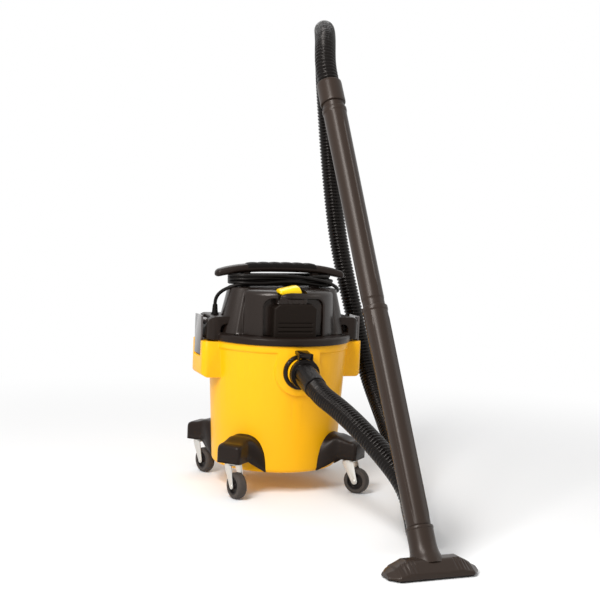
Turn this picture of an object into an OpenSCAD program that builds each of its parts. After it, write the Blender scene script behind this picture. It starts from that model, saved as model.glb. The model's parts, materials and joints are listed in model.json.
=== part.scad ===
// Wet and dry shop vacuum on four casters, with its hose, two wands and floor nozzle.
// +Z is up. The tank's inlet faces -Y. The origin is on the floor, at the middle of the outline.

/* [Tank] */
// Height of the tank's underside above the floor
tank_floor_z = 45; // [40:1:55]
// Height of the tank, from underside to rim
tank_h = 267; // [255:1:290]
// Outer radius at the foot of the tank's wall
tank_r_low = 134; // [130:1:138]
// Outer radius just under the rim band
tank_r_top = 147.5; // [145:0.5:149]
// Wall of the tank
tank_wall = 3; // [2.5:0.1:4]
// Radius of the corner between wall and underside
tank_corner_r = 10; // [8:1:14]
// Height of the thicker band at the rim
band_h = 17; // [14:1:20]
// How far the rim band stands out from the wall
band_out = 3.5; // [2.5:0.1:4]

/* [Side grips] */
// Reach of each side grip from the tank's axis
pod_reach = 178; // [175:1:184]
// Width of each side grip
pod_w = 92; // [84:1:100]
// Height of each side grip
pod_h = 76; // [68:1:84]
// Radius of the side grip's outer corners
pod_corner_r = 14; // [10:1:18]
// Wall of the side grip
pod_wall = 3; // [2.5:0.1:4]

/* [Inlet] */
// Height of the inlet's axis below the rim
inlet_drop = 52; // [48:1:56]
// Bore radius of the inlet spout, for a 47.6 mm hose end
inlet_r = 24; // [22:0.1:26]
// Wall of the inlet spout
spout_wall = 4.2; // [3.5:0.1:5]
// Reach of the spout from the tank's axis
spout_reach = 176; // [172:1:180]
// Outer radius of the black ring round the spout
ring_r = 36; // [34:0.5:40]
// Thickness of the black ring
ring_t = 9; // [6:0.5:12]
// Half width of the raised pad behind the ring
pad_half_w = 46; // [42:1:50]
// Radius of the pad's round lower end
pad_r = 50; // [48:1:54]

/* [Feet] */
// Reach of each foot from the tank's axis
foot_reach = 205; // [200:1:212]
// Width of the foot at its end
foot_w = 54; // [48:1:60]
// Width of the foot where it meets the tank
foot_root_w = 94; // [86:1:100]
// Height of the foot's underside at its end
foot_z = 73; // [72:1:78]
// Height of the foot's end block
foot_end_h = 40; // [36:1:44]
// Height of the foot's arch above the floor
foot_arch_z = 139; // [132:1:146]
// Wall of the foot
foot_wall = 3.5; // [3:0.1:4.5]
// Radius of the foot's corners in plan
foot_corner_r = 8; // [6:1:10]

/* [Casters] */
// Distance of each caster's swivel axis from the tank's axis
caster_r = 181; // [178:1:184]
// Radius of the wheel
wheel_r = 27; // [25:0.5:28]
// Width of the tyre
tyre_w = 20; // [18:0.5:22]
// Radius of the hub
hub_r = 18; // [16:0.5:20]
// Trail of the wheel behind the swivel axis
trail = 17; // [14:1:20]
// Radius of the swivel stem
stem_r = 4; // [3.5:0.1:5]
// Radius of the axle rivet
axle_r = 2.5; // [2:0.1:3]
// Thickness of the fork's steel
fork_t = 2; // [1.5:0.1:2.5]

/* [Head] */
// Radius of the head's base flange
flange_r = 155; // [153:1:158]
// Height of the base flange
flange_h = 15; // [12:1:18]
// Radius of the motor cover's front lobes at their foot
dome_r_low = 122; // [120:1:124]
// Radius of the motor cover's front lobes at their top
dome_r_top = 119; // [117:1:120]
// Radius of the motor cover's flanks at their foot
flank_r_low = 120.5; // [118:0.5:121]
// Radius of the motor cover's flanks at their top
flank_r_top = 102; // [100:1:106]
// Angle from straight ahead at which each front lobe ends
lobe_angle = 56; // [52:1:60]
// Radius of the upright groove beside each lobe
groove_r = 4; // [3:0.5:5]
// Height of the motor cover above the base flange
dome_h = 96; // [92:1:102]
// Radius of the motor cover's top edge
dome_edge_r = 26; // [22:1:30]
// Wall of the head's mouldings
head_wall = 3; // [2.5:0.1:4]
// Reach of each latch shoulder from the axis
shoulder_reach = 168; // [166:1:170]
// Width of each latch shoulder
shoulder_w = 100; // [92:1:108]
// Height of the latch shoulders above the base flange
shoulder_h = 35; // [33:1:38]
// Radius of the shoulders' upper outer corner
shoulder_corner_r = 18; // [14:1:19]

/* [Front panel] */
// Half width of the arched recess
recess_half_w = 65; // [60:1:67]
// Height of the arched recess above the base flange
recess_h = 78; // [74:1:80]
// Distance of the recess floor from the axis
recess_y = 92; // [90:1:95]
// Half width of the raised panel
panel_half_w = 47; // [43:1:50]
// Height of the raised panel
panel_h = 69; // [64:1:72]
// Distance of the panel's face from the axis
panel_y = 116; // [112:1:120]

/* [Latches] */
// Width of each latch
latch_w = 50; // [44:1:54]
// Thickness of the latch plate
latch_t = 4.5; // [4:0.1:5.5]
// Length of the latch plate
latch_h = 82; // [78:1:86]
// Radius of the latch hinge pin
latch_pin_r = 2; // [1.8:0.1:2.5]

/* [Motor, filter and float] */
// Radius of the motor
motor_r = 46; // [40:1:50]
// Height of the motor's can
motor_h = 36; // [32:1:38]
// Radius of the fan
fan_r = 64; // [60:1:66]
// Radius of the filter
filter_r = 62; // [56:1:66]
// Depth of the filter's lower end below the rim
filter_drop = 104; // [102:1:110]
// Radius of the float cage
cage_r = 40; // [38:0.5:41]
// Depth of the float cage's floor below the rim
cage_drop = 98; // [97:0.5:99]
// Radius of the float ball
ball_r = 26; // [24:0.5:27]

/* [Carry handle] */
// Half length of the handle bar
handle_half = 143; // [136:1:150]
// Width of the handle bar
handle_w = 32; // [28:1:36]
// Thickness of the handle bar
handle_t = 19; // [17:1:21]
// Height of the gap between motor cover and bar
handle_gap = 31; // [29:1:36]
// Droop of the bar's ends
handle_droop = 15; // [10:1:18]
// Distance of each handle leg from the middle
leg_x = 78; // [72:1:82]
// Number of finger bumps on the grip
bump_count = 6; // [4:1:8]

/* [Switch] */
// Sideways place of the switch
paddle_x = -8; // [-10:1:0]
// Distance of the switch in front of the axis
paddle_y = 86; // [82:1:90]
// Length of the switch paddle
paddle_l = 50; // [44:1:54]
// Width of the switch paddle
paddle_w = 24; // [20:1:26]
// Height of the paddle's high end above its pivot
paddle_h = 20; // [16:1:22]

/* [Hose and wands] */
// Outer diameter of the ribbed hose
hose_d = 42; // [40:1:44]
// Sideways place of the wands
wand_x = 15; // [5:1:25]
// Distance of the upper wand's rim in front of the tank's axis
wand_y = 252; // [246:1:258]
// Height of the floor nozzle's neck rim
neck_z = 69.2; // [66:0.2:74]
// Lean of the wands from upright
wand_lean = 30; // [28:0.5:32]
// Turn of the wands towards +X, as seen from above
wand_turn = 4.2; // [0:0.2:6]
// Length of each wand
wand_len = 452; // [440:1:460]
// Outer radius of a wand at its rim end
wand_r_top = 22.6; // [22:0.1:24]
// Outer radius of a wand at its plug end
wand_r_low = 21; // [20.5:0.1:21.5]
// Wall of a wand
wand_wall = 2; // [1.6:0.1:2.4]
// Depth to which one wand plugs into the next
wand_socket = 30; // [26:1:34]

/* [Floor nozzle] */
// Width of the floor nozzle
nozzle_w = 177; // [165:1:190]
// Depth of the floor nozzle
nozzle_d = 58; // [54:1:64]
// Height of the floor nozzle's body
nozzle_h = 30; // [28:1:34]
// Height of the bristle strips under the nozzle
bristle_h = 4; // [3:0.5:6]

/* [Power cord] */
// Diameter of the power cord
cord_d = 7.5; // [6:0.5:9]

/* [Hidden] */
$fn = 72;

yellow = [0.97, 0.76, 0.12];
black = [0.12, 0.11, 0.11];
satin = [0.22, 0.20, 0.20];
zinc = [0.78, 0.77, 0.75];
rubber = [0.28, 0.27, 0.26];

gap = 0.3;          // between pieces that move past each other
seat = 0.2;         // between pieces that are pressed together
pin_clear = 0.05;   // radial clearance of a pin in its bore
screw_r = 2;

rim_z = tank_floor_z + tank_h;
band_z = rim_z - band_h;
band_r = tank_r_top + band_out;
inlet_z = rim_z - inlet_drop;
spout_r = inlet_r + spout_wall;
pod_z = rim_z - 2 - pod_h;

head_z = rim_z + gap;
cover_z = head_z + flange_h;
top_z = cover_z + dome_h;
shoulder_z = cover_z + shoulder_h;
skirt_r = tank_r_top - tank_wall - 3;

foot_angles = [225, 315, 135, 45];       // front left, front right, rear left, rear right
caster_turns = [-75, -45, -72, -50];     // where each wheel trails, from +X
stem_z = foot_z - gap;
axle_z = wheel_r;
boss_r = 11;

latch_x = pod_reach - gap - latch_t;     // inner face of the latch plate
pivot_x = shoulder_reach - 4;
pivot_z = shoulder_z - 11;
latch_low_z = shoulder_z - latch_h;
barrel_r = 5;
window_post = 26;    // from the hollow in a shoulder's face to the shoulder's end
window_w = 28;
window_h = 17;
window_r = 10;
window_depth = 17;
notch_w = latch_w + 3;
notch_x = latch_x - 1.2;

bar_z = top_z + handle_gap + handle_t / 2;
seat_z = bar_z + 3.5;

pivot_sw_z = top_z - 14;
bezel_half_l = paddle_l / 2 + 5;

port_z = cover_z + 45;
port_r = inlet_r;
port_reach = 150;
port_start = 103;

cage_z = rim_z - cage_drop;
filter_z = rim_z - filter_drop;
motor_z = cover_z + 26;
intake_r = 15;
fan_z = head_z + 9;
fan_h = 15;
shaft_r = 6;
shaft_top = motor_z + motor_h + 4;

coil_r = 40;
coil_z = top_z + 3.5;
coil_h = 18;
wrap_y = -coil_r - cord_d / 2 + 0.05;
plug_body_r = 11.5;
plug_z = top_z + gap + plug_body_r;

collar_y = spout_reach + seat;
collar_l = 14;
cuff_droop = 14;
cuff_l = 72;

nozzle_socket = 44;
collar_r = inlet_r + 6.5;
claw_w = 24;
claw_nose_w = 14;
claw_y = collar_y + 7;
claw_z = inlet_z + ring_r + 1.5;
nose_y = band_r + seat + 4;

plug_l = 46;
plug_r = wand_r_top - wand_wall - 0.25;
cuff_neck = 12;
cuff_grip_l = 48;
rib_angle = 215;
wand_rest_s = wand_len - wand_socket;                // from one rim to the next, along the wand
neck_s = wand_rest_s + wand_len - nozzle_socket;     // from the upper rim to the nozzle's rim
wand_z = neck_z + neck_s * cos(wand_lean);
wand_foot_y = wand_y + (wand_z - nozzle_h + 5) * tan(wand_lean);
nozzle_front = wand_foot_y + 50;

foot_out_y = (foot_reach - foot_corner_r + foot_w / 2 - foot_corner_r) * cos(45) + foot_corner_r;
turned_front = wand_y + (nozzle_front - wand_y) * cos(wand_turn) + nozzle_w / 2 * sin(wand_turn);
axis_y = (turned_front - foot_out_y) / 2;            // places the tank's axis in the frame

// Routes, measured from the tank's axis on the floor
hose_route = [
    [6, -365, 215], [10, -440, 196], [15, -510, 170], [24, -562, 133], [40, -583, 88],
    [64, -562, 49], [96, -505, 27], [130, -430, 22], [164, -345, 22], [194, -255, 30],
    [216, -170, 56], [227, -95, 100], [230, -35, 155], [227, 20, 218], [220, 54, 290],
    [206, 76, 365], [191, 98, 440], [179, 121, 515], [171, 142, 590], [164, 157, 665],
    [156, 164, 740], [145, 158, 815], [129, 130, 885], [107, 75, 938], [80, 5, 965],
    [55, -65, 966], [34, -130, 945], [20, -172, 917],
];
lead_route = [
    [-142, 0, 384], [-142, 0, 396], [-138, -8, 410], [-128, -22, 421], [-113, -36, 430],
    [-96, wrap_y - 1, 436], [-78, wrap_y, 437],
];
tail_route = [
    [79, wrap_y, 436], [97, -45, 434], [114, -37, 428], [127, -19, 420], [132, 2, 414],
    [129, 24, 413], [120, 44, 418], [106, 59, 426], [88, 68, plug_z], [70, 68, plug_z],
];

function unit(v) = v / norm(v);
function arc(cx, cy, r, a0, a1, n) =
    [for (i = [0:n]) [cx + r * cos(a0 + (a1 - a0) * i / n), cy + r * sin(a0 + (a1 - a0) * i / n)]];
function tank_r(z) =
    tank_r_low + (tank_r_top - tank_r_low) * (z - tank_floor_z - tank_corner_r)
    / (band_z - tank_floor_z - tank_corner_r);
function tangent(p, i) = unit(p[min(i + 1, len(p) - 1)] - p[max(i - 1, 0)]);

module placed() translate([0, axis_y, 0]) children();

module facing_front(z) translate([0, 0, z]) rotate([90, 0, 0]) children();

// The wands and the nozzle are drawn straight ahead, then turned about the upper wand's rim
module turned() translate([wand_x, -wand_y, 0]) rotate(wand_turn) children();

module on_wand(s)
    turned() translate([0, 0, wand_z]) rotate([-wand_lean, 0, 0]) translate([0, 0, -s]) children();

// A closed tube with a section of its own at each point of a path; side is a direction off the path
module swept(path, sections, side) {
    n = len(sections[0]);
    rings = [for (i = [0:len(path) - 1])
        let (t = tangent(path, i), u = unit(cross(t, side)), v = cross(t, u))
        for (q = sections[i]) path[i] + q[0] * u + q[1] * v];
    walls = [for (i = [0:len(path) - 2]) for (j = [0:n - 1])
        let (a = i * n + j, b = i * n + (j + 1) % n)
        for (face = [[a, a + n, b + n], [a, b + n, b]]) face];
    first = [for (j = [0:n - 1]) j];
    last = [for (j = [n - 1:-1:0]) (len(path) - 1) * n + j];
    polyhedron(rings, concat(walls, [first, last]), convexity = 6);
}

module cord_tube(path, d, sides, side) {
    ring = [for (j = [0:sides - 1]) d / 2 * [cos(360 * j / sides), sin(360 * j / sides)]];
    swept(path, [for (p = path) ring], side);
}

module rounded_box_2d(l, w, r) offset(r) square([l - 2 * r, w - 2 * r], center = true);

// Tank ------------------------------------------------------------------------------------------

module tank_solid(grow) {
    rotate_extrude($fn = 144) polygon(concat(
        [[0, tank_floor_z - grow]],
        arc(tank_r_low - tank_corner_r, tank_floor_z + tank_corner_r, tank_corner_r + grow, -90, 0, 6),
        [[tank_r_top + grow, band_z], [band_r + grow, band_z + band_out],
         [band_r + grow, rim_z], [0, rim_z]]));
}

module tank_hollow() {
    rotate_extrude($fn = 144) polygon(concat(
        [[0, tank_floor_z + tank_wall]],
        arc(tank_r_low - tank_corner_r, tank_floor_z + tank_corner_r,
            tank_corner_r - tank_wall, -90, 0, 6),
        [[tank_r_top - tank_wall, band_z], [band_r - tank_wall, band_z + band_out],
         [band_r - tank_wall, rim_z + 1], [0, rim_z + 1]]));
}

module inlet_pad() {
    intersection() {
        translate([0, 0, inlet_z - pad_r]) cylinder(r = band_r, h = rim_z - inlet_z + pad_r, $fn = 144);
        facing_front(0) linear_extrude(200) union() {
            translate([0, inlet_z]) circle(pad_r);
            translate([-pad_half_w, inlet_z]) square([2 * pad_half_w, rim_z - inlet_z]);
        }
    }
}

// A side grip on +X, or the hand space inside it when inset is its wall
module pod_form(inset) {
    r = pod_corner_r - inset;
    half = pod_w / 2 - pod_corner_r;
    centre_x = pod_reach - pod_corner_r;
    top = pod_z + pod_h - inset;
    low_z = inset > 0 ? pod_z - 5 : pod_z;
    intersection() {
        translate([0, 0, pod_z - 10]) linear_extrude(pod_h + 20) polygon(concat(
            [[100, -half - r]], arc(centre_x, -half, r, -90, 0, 6),
            arc(centre_x, half, r, 0, 90, 6), [[100, half + r]]));
        rotate([90, 0, 0]) linear_extrude(2 * pod_w, center = true) polygon(concat(
            [[100, low_z], [centre_x, low_z]],
            arc(centre_x, pod_z + pod_corner_r, r, -90, 0, 6), [[pod_reach - inset, top], [100, top]]));
    }
}

module latch_notch(grow) {
    rotate([90, 0, 0]) linear_extrude(notch_w + 2 * grow, center = true) polygon([
        [notch_x - grow, latch_low_z - 1 - grow], [pod_reach + 1, latch_low_z - 6 - grow],
        [pod_reach + 1, rim_z + 1], [notch_x - grow, rim_z + 1]]);
}

module tank() placed() color(yellow) difference() {
    union() {
        tank_solid(0);
        inlet_pad();
        facing_front(inlet_z) cylinder(r = spout_r, h = spout_reach);
        for (side = [0, 1]) mirror([side, 0, 0]) difference() {
            pod_form(0);
            latch_notch(0);
            difference() {
                pod_form(pod_wall);
                latch_notch(pod_wall);
            }
        }
    }
    tank_hollow();
    for (a = foot_angles) rotate(a) screw_places(tank_r_low - 10) cylinder(r = screw_r + 0.2, h = 30);
    facing_front(inlet_z) translate([0, 0, 20]) cylinder(r = inlet_r, h = spout_reach);
}

module inlet_ring() placed() color(black) facing_front(inlet_z) difference() {
    union() {
        translate([0, 0, band_r + seat]) cylinder(r = ring_r, h = ring_t - 2);
        translate([0, 0, band_r + seat]) cylinder(r = ring_r - 2, h = ring_t);
    }
    translate([0, 0, band_r - 1]) cylinder(r = spout_r + seat, h = ring_t + 3);
    translate([-claw_nose_w / 2 - 0.4, ring_r - 5, nose_y - 2.7]) cube([claw_nose_w + 0.8, 20, 5.4]);
}

// A hood inside the tank that turns the dirty air down
module inlet_deflector() placed() color(black) difference() {
    wall_y = tank_r(inlet_z) - tank_wall;
    intersection() {
        facing_front(inlet_z) translate([0, 0, wall_y - 42]) cylinder(r = inlet_r + 8, h = 60);
        tank_solid(-tank_wall - gap);
    }
    facing_front(inlet_z) {
        translate([0, 0, wall_y - 39]) cylinder(r = inlet_r + 5, h = 80);
        translate([-50, -50, wall_y - 60]) cube([100, 36, 80]);
    }
}

module screw_places(x) for (y = [-28, 28]) translate([x, y, tank_floor_z + 30]) rotate([0, 90, 0])
    children();

// Feet and casters ------------------------------------------------------------------------------

// The outline of a foot that points along +X, shrunk by inset on every side but its underside
module foot_form(inset) {
    drop = inset > 0 ? 40 : 0;
    root_x = tank_r_low - 24;
    intersection() {
        rotate([90, 0, 0]) linear_extrude(2 * foot_root_w, center = true)
            offset(delta = -inset) polygon([
                [root_x, tank_floor_z + 2 - drop], [tank_r_low + 2, tank_floor_z + 2 - drop],
                [tank_r_low + 32, foot_z - drop], [foot_reach, foot_z - drop],
                [foot_reach, foot_z + foot_end_h - 5], [foot_reach - 5, foot_z + foot_end_h],
                [foot_reach - 12, foot_z + foot_end_h + 4],
                [tank_r_low + 8, foot_arch_z], [root_x, foot_arch_z]]);
        linear_extrude(foot_arch_z + 5) offset(delta = -inset) union() {
            polygon([
                [root_x - 20, foot_root_w / 2], [tank_r_low + 6, foot_root_w / 2 - 3],
                [tank_r_low + 40, foot_w / 2], [foot_reach - foot_corner_r, foot_w / 2],
                [foot_reach - foot_corner_r, -foot_w / 2], [tank_r_low + 40, -foot_w / 2],
                [tank_r_low + 6, -foot_root_w / 2 + 3], [root_x - 20, -foot_root_w / 2]]);
            translate([foot_reach - foot_corner_r, 0]) rotate(90)
                rounded_box_2d(foot_w, 2 * foot_corner_r, foot_corner_r - 0.01);
        }
        rotate([90, 0, 90]) linear_extrude(foot_reach + 5) offset(delta = -inset) polygon(concat(
            [[-foot_root_w / 2, 0], [foot_root_w / 2, 0], [foot_root_w / 2, tank_floor_z + 8]],
            arc(0, foot_arch_z - foot_root_w * 0.36, foot_root_w * 0.36, 12, 168, 12),
            [[-foot_root_w / 2, tank_floor_z + 8]]));
    }
}

module foot(i) placed() color(black) rotate(foot_angles[i]) difference() {
    union() {
        difference() {
            foot_form(0);
            intersection() {
                foot_form(foot_wall);
                translate([tank_r_low + 12, -100, 0]) cube([100, 200, 200]);
            }
        }
        intersection() {
            foot_form(0);
            union() {
                translate([caster_r, 0, foot_z]) cylinder(r = boss_r, h = foot_end_h);
                translate([tank_r_low, -1.5, foot_z]) cube([foot_reach - tank_r_low, 3, foot_end_h]);
            }
        }
    }
    tank_solid(seat);
    translate([caster_r, 0, foot_z - 1]) cylinder(r = stem_r + pin_clear, h = 29);
    screw_places(tank_r_low - 5) cylinder(r = screw_r + 0.2, h = 30);
}

// Two screws hold each foot to the tank's wall
module foot_screws() placed() color(zinc) for (a = foot_angles) rotate(a) {
    screw_places(tank_r_low - 6) cylinder(r = screw_r, h = 19);
    screw_places(tank_r_low + 12.2) cylinder(r = 2 * screw_r, h = 2.5);
}

module at_caster(i) placed() rotate(foot_angles[i]) translate([caster_r, 0, 0])
    rotate(caster_turns[i] - foot_angles[i]) children();

module fork(i) at_caster(i) color(zinc) {
    leg_y = tyre_w / 2 + 1.5;
    translate([0, 0, stem_z - 1]) cylinder(r = stem_r, h = 26);
    translate([0, 0, stem_z - 4]) cylinder(r = 14, h = 4);
    difference() {
        union() {
            translate([-11, -leg_y - fork_t, stem_z - 4 - fork_t])
                cube([24, 2 * leg_y + 2 * fork_t, fork_t]);
            for (side = [-1, 1]) translate([0, side * (leg_y + fork_t / 2), 0]) rotate([90, 0, 0])
                linear_extrude(fork_t, center = true) hull() {
                    translate([-11, stem_z - 10]) square([24, 6]);
                    translate([trail, axle_z]) circle(6.5);
                }
        }
        translate([trail, 0, axle_z]) rotate([90, 0, 0])
            cylinder(r = axle_r + 0.02, h = 60, center = true);
    }
}

module axle(i) at_caster(i) color(zinc) translate([trail, 0, axle_z]) rotate([90, 0, 0]) {
    reach = tyre_w / 2 + 1.5 + fork_t;
    cylinder(r = axle_r, h = 2 * reach, center = true);
    for (side = [0, 1]) mirror([0, 0, side]) translate([0, 0, reach]) {
        cylinder(r = axle_r + 1.8, h = 0.8);
        translate([0, 0, 0.8]) cylinder(r1 = axle_r + 1.8, r2 = axle_r, h = 0.8);
    }
}

module hub(i) at_caster(i) color(black) translate([trail, 0, axle_z]) rotate([90, 0, 0])
    difference() {
        cylinder(r = hub_r, h = tyre_w - 2, center = true);
        for (side = [0, 1]) mirror([0, 0, side]) translate([0, 0, tyre_w / 2 - 5]) difference() {
            cylinder(r = hub_r - 2.5, h = 6);
            cylinder(r = axle_r + 3.5, h = 10);
        }
        cylinder(r = axle_r + pin_clear, h = tyre_w + 2, center = true);
    }

module tyre(i) at_caster(i) color(rubber) translate([trail, 0, axle_z]) rotate([90, 0, 0])
    rotate_extrude() translate([hub_r, -tyre_w / 2]) polygon(concat(
        [[0, 0]],
        arc(wheel_r - hub_r - 4, 4, 4, -90, 0, 4),
        arc(wheel_r - hub_r - 4, tyre_w - 4, 4, 0, 90, 4),
        [[0, tyre_w]]));

// Head ------------------------------------------------------------------------------------------

module dome_turned(grow) {
    edge_z = top_z - dome_edge_r;
    rotate_extrude($fn = 144) polygon(concat(
        [[0, cover_z], [dome_r_low + grow, cover_z], [dome_r_top + grow, edge_z - 4]],
        arc(dome_r_top - dome_edge_r, edge_z, dome_edge_r + grow, 4, 84, 8),
        [[0, top_z + grow]]));
}

// Everything behind the two front lobes, in plan
module behind_lobes(grow) {
    far = 2 * dome_r_low;
    out = [far * sin(lobe_angle), -far * cos(lobe_angle)];
    offset(delta = -grow) polygon([[0, 0], out, [far, far], [-far, far], [-out[0], out[1]]]);
}

// The cover's form: lobes in front, cut back to sloping flanks behind them
module dome_solid(grow) difference() {
    dome_turned(grow);
    difference() {
        translate([0, 0, cover_z - 1]) linear_extrude(dome_h + 20) behind_lobes(grow);
        translate([0, 0, cover_z - 2]) cylinder(
            r1 = flank_r_low + grow + 2 * (flank_r_low - flank_r_top) / dome_h,
            r2 = flank_r_top + grow - 20 * (flank_r_low - flank_r_top) / dome_h,
            h = dome_h + 22, $fn = 144);
    }
    for (side = [-1, 1]) rotate(side * lobe_angle) translate([0, -dome_r_top, cover_z + 4])
        cylinder(r = groove_r - grow, h = dome_h);
}

module recess_2d(grow) {
    w = recess_half_w + grow;
    translate([0, cover_z - 1]) union() {
        translate([-w, 0]) square([2 * w, recess_h + 1 - 18]);
        translate([-w + 18, 0]) square([2 * w - 36, recess_h + 1 + grow]);
        for (side = [-1, 1]) translate([side * (w - 18), recess_h + 1 - 18 + grow]) circle(18);
        translate([-w, 0]) square([2 * w, recess_h + 1 - 18 + grow]);
    }
}

module head_cover() placed() color(black) difference() {
    dome_solid(0);
    difference() {
        dome_solid(-head_wall);
        facing_front(0) translate([0, 0, recess_y - head_wall]) linear_extrude(60)
            recess_2d(head_wall);
    }
    facing_front(0) translate([0, 0, recess_y]) linear_extrude(60) recess_2d(0);
    translate([paddle_x - bezel_half_l - seat, -paddle_y - paddle_w / 2 - 4 - seat, pivot_sw_z - 12 - seat])
        cube([2 * (bezel_half_l + seat), paddle_w + 8 + 2 * seat, 60]);
    translate([0, 60, port_z]) rotate([-90, 0, 0]) cylinder(r = port_r + 4 + seat, h = 100);
}

// The recess's floor carries this raised panel, with three cooling ribs low on its face
module front_panel() placed() color(satin) facing_front(0) difference() {
    outline = [[-panel_half_w, cover_z + 0.2], [panel_half_w, cover_z + 0.2],
               [panel_half_w, cover_z + panel_h - 8], [panel_half_w - 12, cover_z + panel_h],
               [12 - panel_half_w, cover_z + panel_h], [-panel_half_w, cover_z + panel_h - 8]];
    hull() {
        translate([0, 0, recess_y + 0.1]) linear_extrude(panel_y - recess_y - 3) polygon(outline);
        translate([0, 0, panel_y - 1]) linear_extrude(1) offset(delta = -3) polygon(outline);
    }
    for (k = [0:2]) translate([5 - panel_half_w + 6, cover_z + 8 + 9 * k, panel_y - 1.5])
        cube([2 * panel_half_w - 22, 3, 5]);
}

module shoulder_form() {
    inner_x = flank_r_top - 12;
    intersection() {
        translate([inner_x, -shoulder_w / 2, head_z + 2])
            cube([shoulder_reach - inner_x, shoulder_w, shoulder_z - head_z - 2]);
        rotate([90, 0, 0]) linear_extrude(2 * shoulder_w, center = true) hull() {
            translate([inner_x, head_z]) square([shoulder_reach - inner_x, 10]);
            translate([inner_x, shoulder_z - 10]) square(10);
            translate([shoulder_reach - shoulder_corner_r, shoulder_z - shoulder_corner_r])
                circle(shoulder_corner_r);
        }
        linear_extrude(shoulder_z + 10) hull() {
            translate([inner_x, -shoulder_w / 2]) square([10, shoulder_w]);
            for (side = [-1, 1])
                translate([shoulder_reach - 16, side * (shoulder_w / 2 - 16)]) circle(16);
        }
    }
}

// The hollow in a shoulder's face, round at its upper outer corner
module window_2d() {
    out = shoulder_reach - window_post;
    high = cover_z + 2 + window_h;
    polygon(concat([[out - window_w, cover_z + 2], [out, cover_z + 2]],
        arc(out - window_r, high - window_r, window_r, 0, 90, 6), [[out - window_w, high]]));
}

module head_base() placed() color(black) difference() {
    union() {
        rotate_extrude($fn = 144) polygon([
            [44, head_z], [skirt_r - 3, head_z], [skirt_r - 3, head_z - 12], [skirt_r, head_z - 12],
            [skirt_r, head_z], [flange_r, head_z], [flange_r, cover_z - 3], [flange_r - 3, cover_z],
            [44, cover_z]]);
        for (side = [0, 1]) mirror([side, 0, 0]) shoulder_form();
    }
    translate([0, 0, head_z + 4]) cylinder(r = dome_r_low - 8, h = flange_h);
    difference() {
        translate([0, 0, cover_z]) cylinder(r = dome_r_low + 1, h = 100);
        difference() {
            translate([0, 0, cover_z]) cylinder(r = 200, h = 100);
            dome_solid(seat);
        }
    }
    for (side = [0, 1]) mirror([side, 0, 0]) {
        translate([pivot_x - barrel_r - 2, -latch_w / 2 - gap, pivot_z - 8])
            cube([40, latch_w + 2 * gap, 40]);
        translate([latch_x - 3, -latch_w / 2 - gap, head_z - 1]) cube([40, latch_w + 2 * gap, 60]);
        translate([pivot_x, 0, pivot_z]) rotate([90, 0, 0])
            cylinder(r = latch_pin_r, h = latch_w + 20, center = true);
        for (end = [0, 1]) mirror([0, end, 0])
            translate([0, window_depth - shoulder_w / 2, 0]) rotate([90, 0, 0])
                linear_extrude(window_depth + 1) window_2d();
    }
    translate([-142, 0, shoulder_z - 12]) cylinder(r = 6 + seat, h = 30);
    for (a = [35, 145, 215, 325]) rotate(a) translate([flange_r - 12, 0, cover_z - 10])
        cylinder(r = screw_r + 0.2, h = 20);
}

module head_gasket() placed() color(rubber) translate([0, 0, head_z - 9]) difference() {
    cylinder(r = skirt_r + 2.4, h = 6, $fn = 144);
    translate([0, 0, -1]) cylinder(r = skirt_r + 0.1, h = 8, $fn = 144);
}

// Four screws join the motor cover to the base
module head_screws() placed() color(zinc) for (a = [35, 145, 215, 325]) rotate(a)
    translate([flange_r - 12, 0, cover_z]) {
        cylinder(r = 2 * screw_r, h = 2.4);
        translate([0, 0, -9]) cylinder(r = screw_r, h = 10);
    }

module latch(side) placed() color(satin) mirror([side, 0, 0]) difference() {
    union() {
        translate([latch_x, -latch_w / 2, latch_low_z]) cube([latch_t, latch_w, latch_h]);
        translate([pivot_x, 0, pivot_z]) rotate([90, 0, 0])
            cylinder(r = barrel_r, h = latch_w - 8, center = true);
        translate([pivot_x, -latch_w / 2 + 4, pivot_z - 3]) cube([latch_x - pivot_x + 1, latch_w - 8, 6]);
        translate([notch_x + gap, -latch_w / 2 + 8, latch_low_z + 8])
            cube([latch_x - notch_x, latch_w - 16, 5]);
    }
    translate([pivot_x, 0, pivot_z]) rotate([90, 0, 0])
        cylinder(r = latch_pin_r + pin_clear, h = latch_w + 2, center = true);
}

module latch_pins() placed() color(zinc) for (side = [-1, 1])
    translate([side * pivot_x, 0, pivot_z]) rotate([90, 0, 0])
        cylinder(r = latch_pin_r, h = latch_w + 18, center = true);

// The bar droops towards its ends, and its section shrinks a little there
module carry_handle() placed() color(black) difference() {
    steps = 24;
    xs = [for (i = [0:steps]) -handle_half + 2 * handle_half * i / steps];
    path = [for (x = xs) [x, 0, bar_z - handle_droop * pow(abs(x) / handle_half, 3)]];
    sections = [for (x = xs)
        let (k = 1 - 0.22 * pow(abs(x) / handle_half, 10))
        [for (j = [0:15]) let (a = 360 * (j + 0.5) / 16, c = cos(a), s = sin(a))
            k * [handle_w / 2 * sign(c) * pow(abs(c), 0.7), handle_t / 2 * sign(s) * pow(abs(s), 0.7)]]];
    union() {
        swept(path, sections, [0, 0, 1]);
        for (side = [-1, 1]) translate([side * leg_x, 0, top_z + 0.1])
            linear_extrude(handle_gap + 6) rounded_box_2d(20, 22, 6);
    }
    translate([-leg_x, -handle_w, seat_z]) cube([2 * leg_x, 2 * handle_w, 20]);
}

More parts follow.
